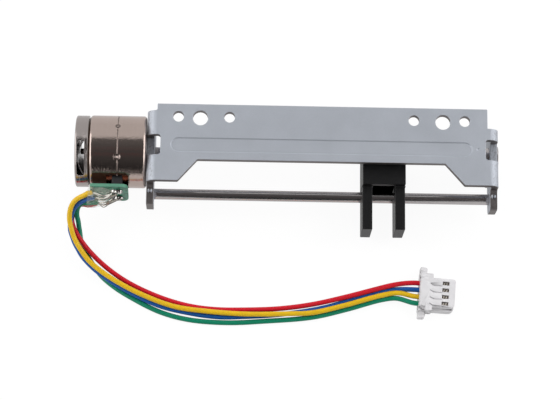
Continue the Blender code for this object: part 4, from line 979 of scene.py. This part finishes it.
def make_wire_ends():
    """What shows through the glue: each wire's last bit of jacket, and its bare strands, which fan
    out and come together again at its joint."""
    for colour, (side, up, stop, row, across) in WIRE_ENDS.items():
        first, second = np.array(ROUTES[colour][:2])
        ahead = (first - second) / np.linalg.norm(first - second)
        end = leaning((stop, side, up))
        jacket = smooth_line([first - ahead * 0.1, first, first + ahead * 0.3, end], 0.1)
        bars("jacket_end_" + colour, [jacket], WIRE_RADIUS - 0.005, colour + "_jacket", 20)
        strands = []
        for k in range(4):
            out = (k - 1.5) * 0.2
            strands.append(smooth_line(
                [end - ahead * 0.1 + (0, 0, out * 0.3), leaning((stop + 0.4, side + out * 0.8, up + 0.1)),
                 leaning((-5.9, side * 0.8 + across * 0.2 + out * 1.2, 7.55 + 0.1 * math.sin(k * 2))),
                 leaning((-5.2, side * 0.3 + across * 0.7 + out * 1.2, 7.35)),
                 leaning((TERMINAL_X + row - 0.3, across + out * 0.5, 6.9))], 0.12))
        bars("strands_" + colour, strands, 0.055, "solder", 8)


# Plug

def from_plug(point):
    """A point of the plug's own frame, along the wires, sideways and up, in the slide's."""
    x, y, z = point
    c, s = math.cos(PLUG_TURN), math.sin(PLUG_TURN)
    return np.array((PLUG_AT[0] + x * c - y * s, PLUG_AT[1] + x * s + y * c, z + FLOOR))


def is_slot(point):
    """Whether a point belongs to the plug's windows, latches or cavities, by its place in the
    plug's own frame."""
    x, y = np.array(point[:2]) - PLUG_AT
    c, s = math.cos(PLUG_TURN), math.sin(PLUG_TURN)
    x, y, z = x * c + y * s, y * c - x * s, point[2] - FLOOR
    return abs(y) < 1.85 and 0.5 < z and 0.3 < x < 4.6 or abs(y) < 1.8 and 0.6 < z < 2.0


def make_plug():
    """The housing, its four crimp contacts and, in each window, the two arches of a contact's spring."""
    pieces = [softened("plug_shell", "plug_housing", "white_plastic", 0.07, keep=is_slot)]
    folds = []
    for number in range(1, 5):
        pieces.append(softened(f"crimp_contact_{number}", f"contact_{number}", "contact_tin", 0.03))
        for start in (VIEW_X, VIEW_X + 0.36):
            arch = np.array([(0, -0.17, 1.85), (0.06, -0.15, 2.2), (0.2, -0.05, 2.35), (0.12, 0.04, 2.35),
                             (0.26, 0.15, 2.2), (0.3, 0.17, 1.85)]) + (start, PLUG_PITCH * (2.5 - number), 0)
            folds.append(smooth_line([from_plug(p) for p in arch], 0.04))
    # The springs' pale look is a painted highlight
    return pieces + [bars("contact_springs", folds, 0.045, "contact_fold", 8, slot="contact_tin")]


# Studio

def card(name, centre, across, up, look, mirrored_only=True):
    """A flat card, from its centre and its two half sides. As a rule only reflections see it."""
    centre, across, up = (np.array(v, float) for v in (centre, across, up))
    corners = [centre - across - up, centre + across - up, centre + across + up, centre - across + up]
    mesh = bpy.data.meshes.new(name)
    mesh.from_pydata(at_slide(corners).tolist(), [], [(0, 1, 2, 3)])
    mesh.materials.append(look)
    thing = shown(name, mesh)
    for kind in ("camera", "diffuse", "shadow", "transmission"):
        setattr(thing, "visible_" + kind, not mirrored_only)


def backdrop_finish():
    """White to the camera and pale grey to mirrors, with the slide's shadow faintly on it."""
    f = Finish("pale_floor", (0.9, 0.9, 0.9), 0.9)
    rays = f.tree.nodes.new("ShaderNodeLightPath")
    camera, glossy, through = (Link(f, rays.outputs[f"Is {kind} Ray"])
                               for kind in ("Camera", "Glossy", "Transmission"))
    plain = camera.maths("MAXIMUM", through)
    glow = f.node("Emission", None, {"Color": (1, 1, 1, 1), "Strength": plain * 1.03 + glossy * MIRRORED_SKY})
    both = f.node("MixShader", None,
                  {0: plain.maths("MAXIMUM", glossy) * 0.9, 1: Link(f, f.shader.outputs[0]), 2: glow})
    f.feed(f.tree.nodes["Material Output"].inputs["Surface"], both)
    return f.material


def glowing(name):
    """A black card's finish, lit by its own glow alone."""
    return Finish(name, (0.0, 0.0, 0.0), 0.9, Specular_IOR_Level=0.0, Emission_Strength=1.0)


def plain_finish(name, strength):
    """A card that glows evenly."""
    return glowing(name).set(Emission_Color=(strength, strength, strength, 1)).material


def flag_finish():
    """A dark ceiling, a little lighter towards the slide's straight edge: its glow falls off with y.
    It has two faint warm strips along the slide."""
    f = glowing("dark_ceiling")
    y = f.node("SeparateXYZ", None, {0: f.node("TexCoord", out="Object")}, out=1)
    near = f.node("MapRange", None, {"Value": y, "From Min": -0.12, "From Max": 0.19}, "Result")
    far = f.node("MapRange", None, {"Value": y, "From Min": -0.7, "From Max": -0.12}, "Result")
    glow = far * 0.045 + near ** 1.4 * 0.09 + 0.025
    strip = y.above(-0.035, -0.027) - y.above(-0.02, -0.012) + y.above(-0.15, -0.14) - y.above(-0.125, -0.115)
    warm = f.node("CombineColor", None, {0: glow + strip * 0.05, 1: glow, 2: glow})
    return f.set(Emission_Color=warm).material


def soft_box(name, place, wide, high, watts):
    """An area light that faces the slide and that mirrors don't see."""
    light = bpy.data.lights.new(name, "AREA")
    light.shape = "RECTANGLE"
    light.size, light.size_y = wide * MM, high * MM
    light.energy = watts
    lamp = shown(name, light)
    lamp.visible_glossy = False
    place, aim = Vector(at_slide(place)), Vector(at_slide((20, 0, 0)))
    lamp.matrix_world = Matrix.Translation(place) @ (place - aim).to_track_quat("Z", "Y").to_matrix().to_4x4()


def make_studio():
    """A white floor and sky, and soft boxes on both sides. Mirrors see a grey sky, a dark ceiling and
    a dark far wall over the slide, and a bright card on either side instead of the lamps."""
    scene = bpy.context.scene
    scene.view_settings.view_transform = "Standard"
    world = bpy.data.worlds.new("pale_sky")
    scene.world = world
    world.use_nodes = True
    tree = world.node_tree
    rays = tree.nodes.new("ShaderNodeLightPath")
    background = tree.nodes["Background"]
    background.inputs["Color"].default_value = (1, 1, 1, 1)
    strength = background.inputs["Strength"]
    for kind, level in (("Glossy", MIRRORED_SKY), ("Transmission", 1.0), ("Camera", 1.0)):
        step = tree.nodes.new("ShaderNodeMix")
        tree.links.new(rays.outputs[f"Is {kind} Ray"], step.inputs[0])
        step.inputs[2].default_value, step.inputs[3].default_value = SKY, level
        if strength.is_linked:
            tree.links.new(strength.links[0].from_socket, step.inputs[2])
        tree.links.new(step.outputs[0], strength)
    card("floor", (20, 0, FLOOR), (2000, 0, 0), (0, 2000, 0), backdrop_finish(), mirrored_only=False)
    card("dark_ceiling", (20, -1000, 330), (200, 0, 0), (0, 1190, 0), flag_finish())
    card("dark_wall", (20, -2190, 168), (300, 0, 0), (0, 0, 166), plain_finish("wall_glow", 0.03))
    card("left_card", (-330, 0, 163), (0, 300, 0), (150, 0, 167), plain_finish("left_glow", 1.9))
    card("right_card", (370, 0, 163), (0, 300, 0), (-150, 0, 167), plain_finish("right_glow", 1.9))
    soft_box("left_box", (-260, 40, 190), 160, 300, 0.5)
    soft_box("right_box", (300, 40, 190), 160, 300, 0.5)
    soft_box("back_box", (20, 300, 260), 420, 160, 0.4)


make_camera()
plug = make_plug()
make_wires()
make_bracket()
make_rod()
make_screw()
make_bearings()
make_motor()
make_end_cap()
make_leaf()
make_terminals()
make_glue()
make_wire_ends()
softened("forked_slider", "slider", "black_acetal", 0.09, body="slider", segments=3)
make_studio()
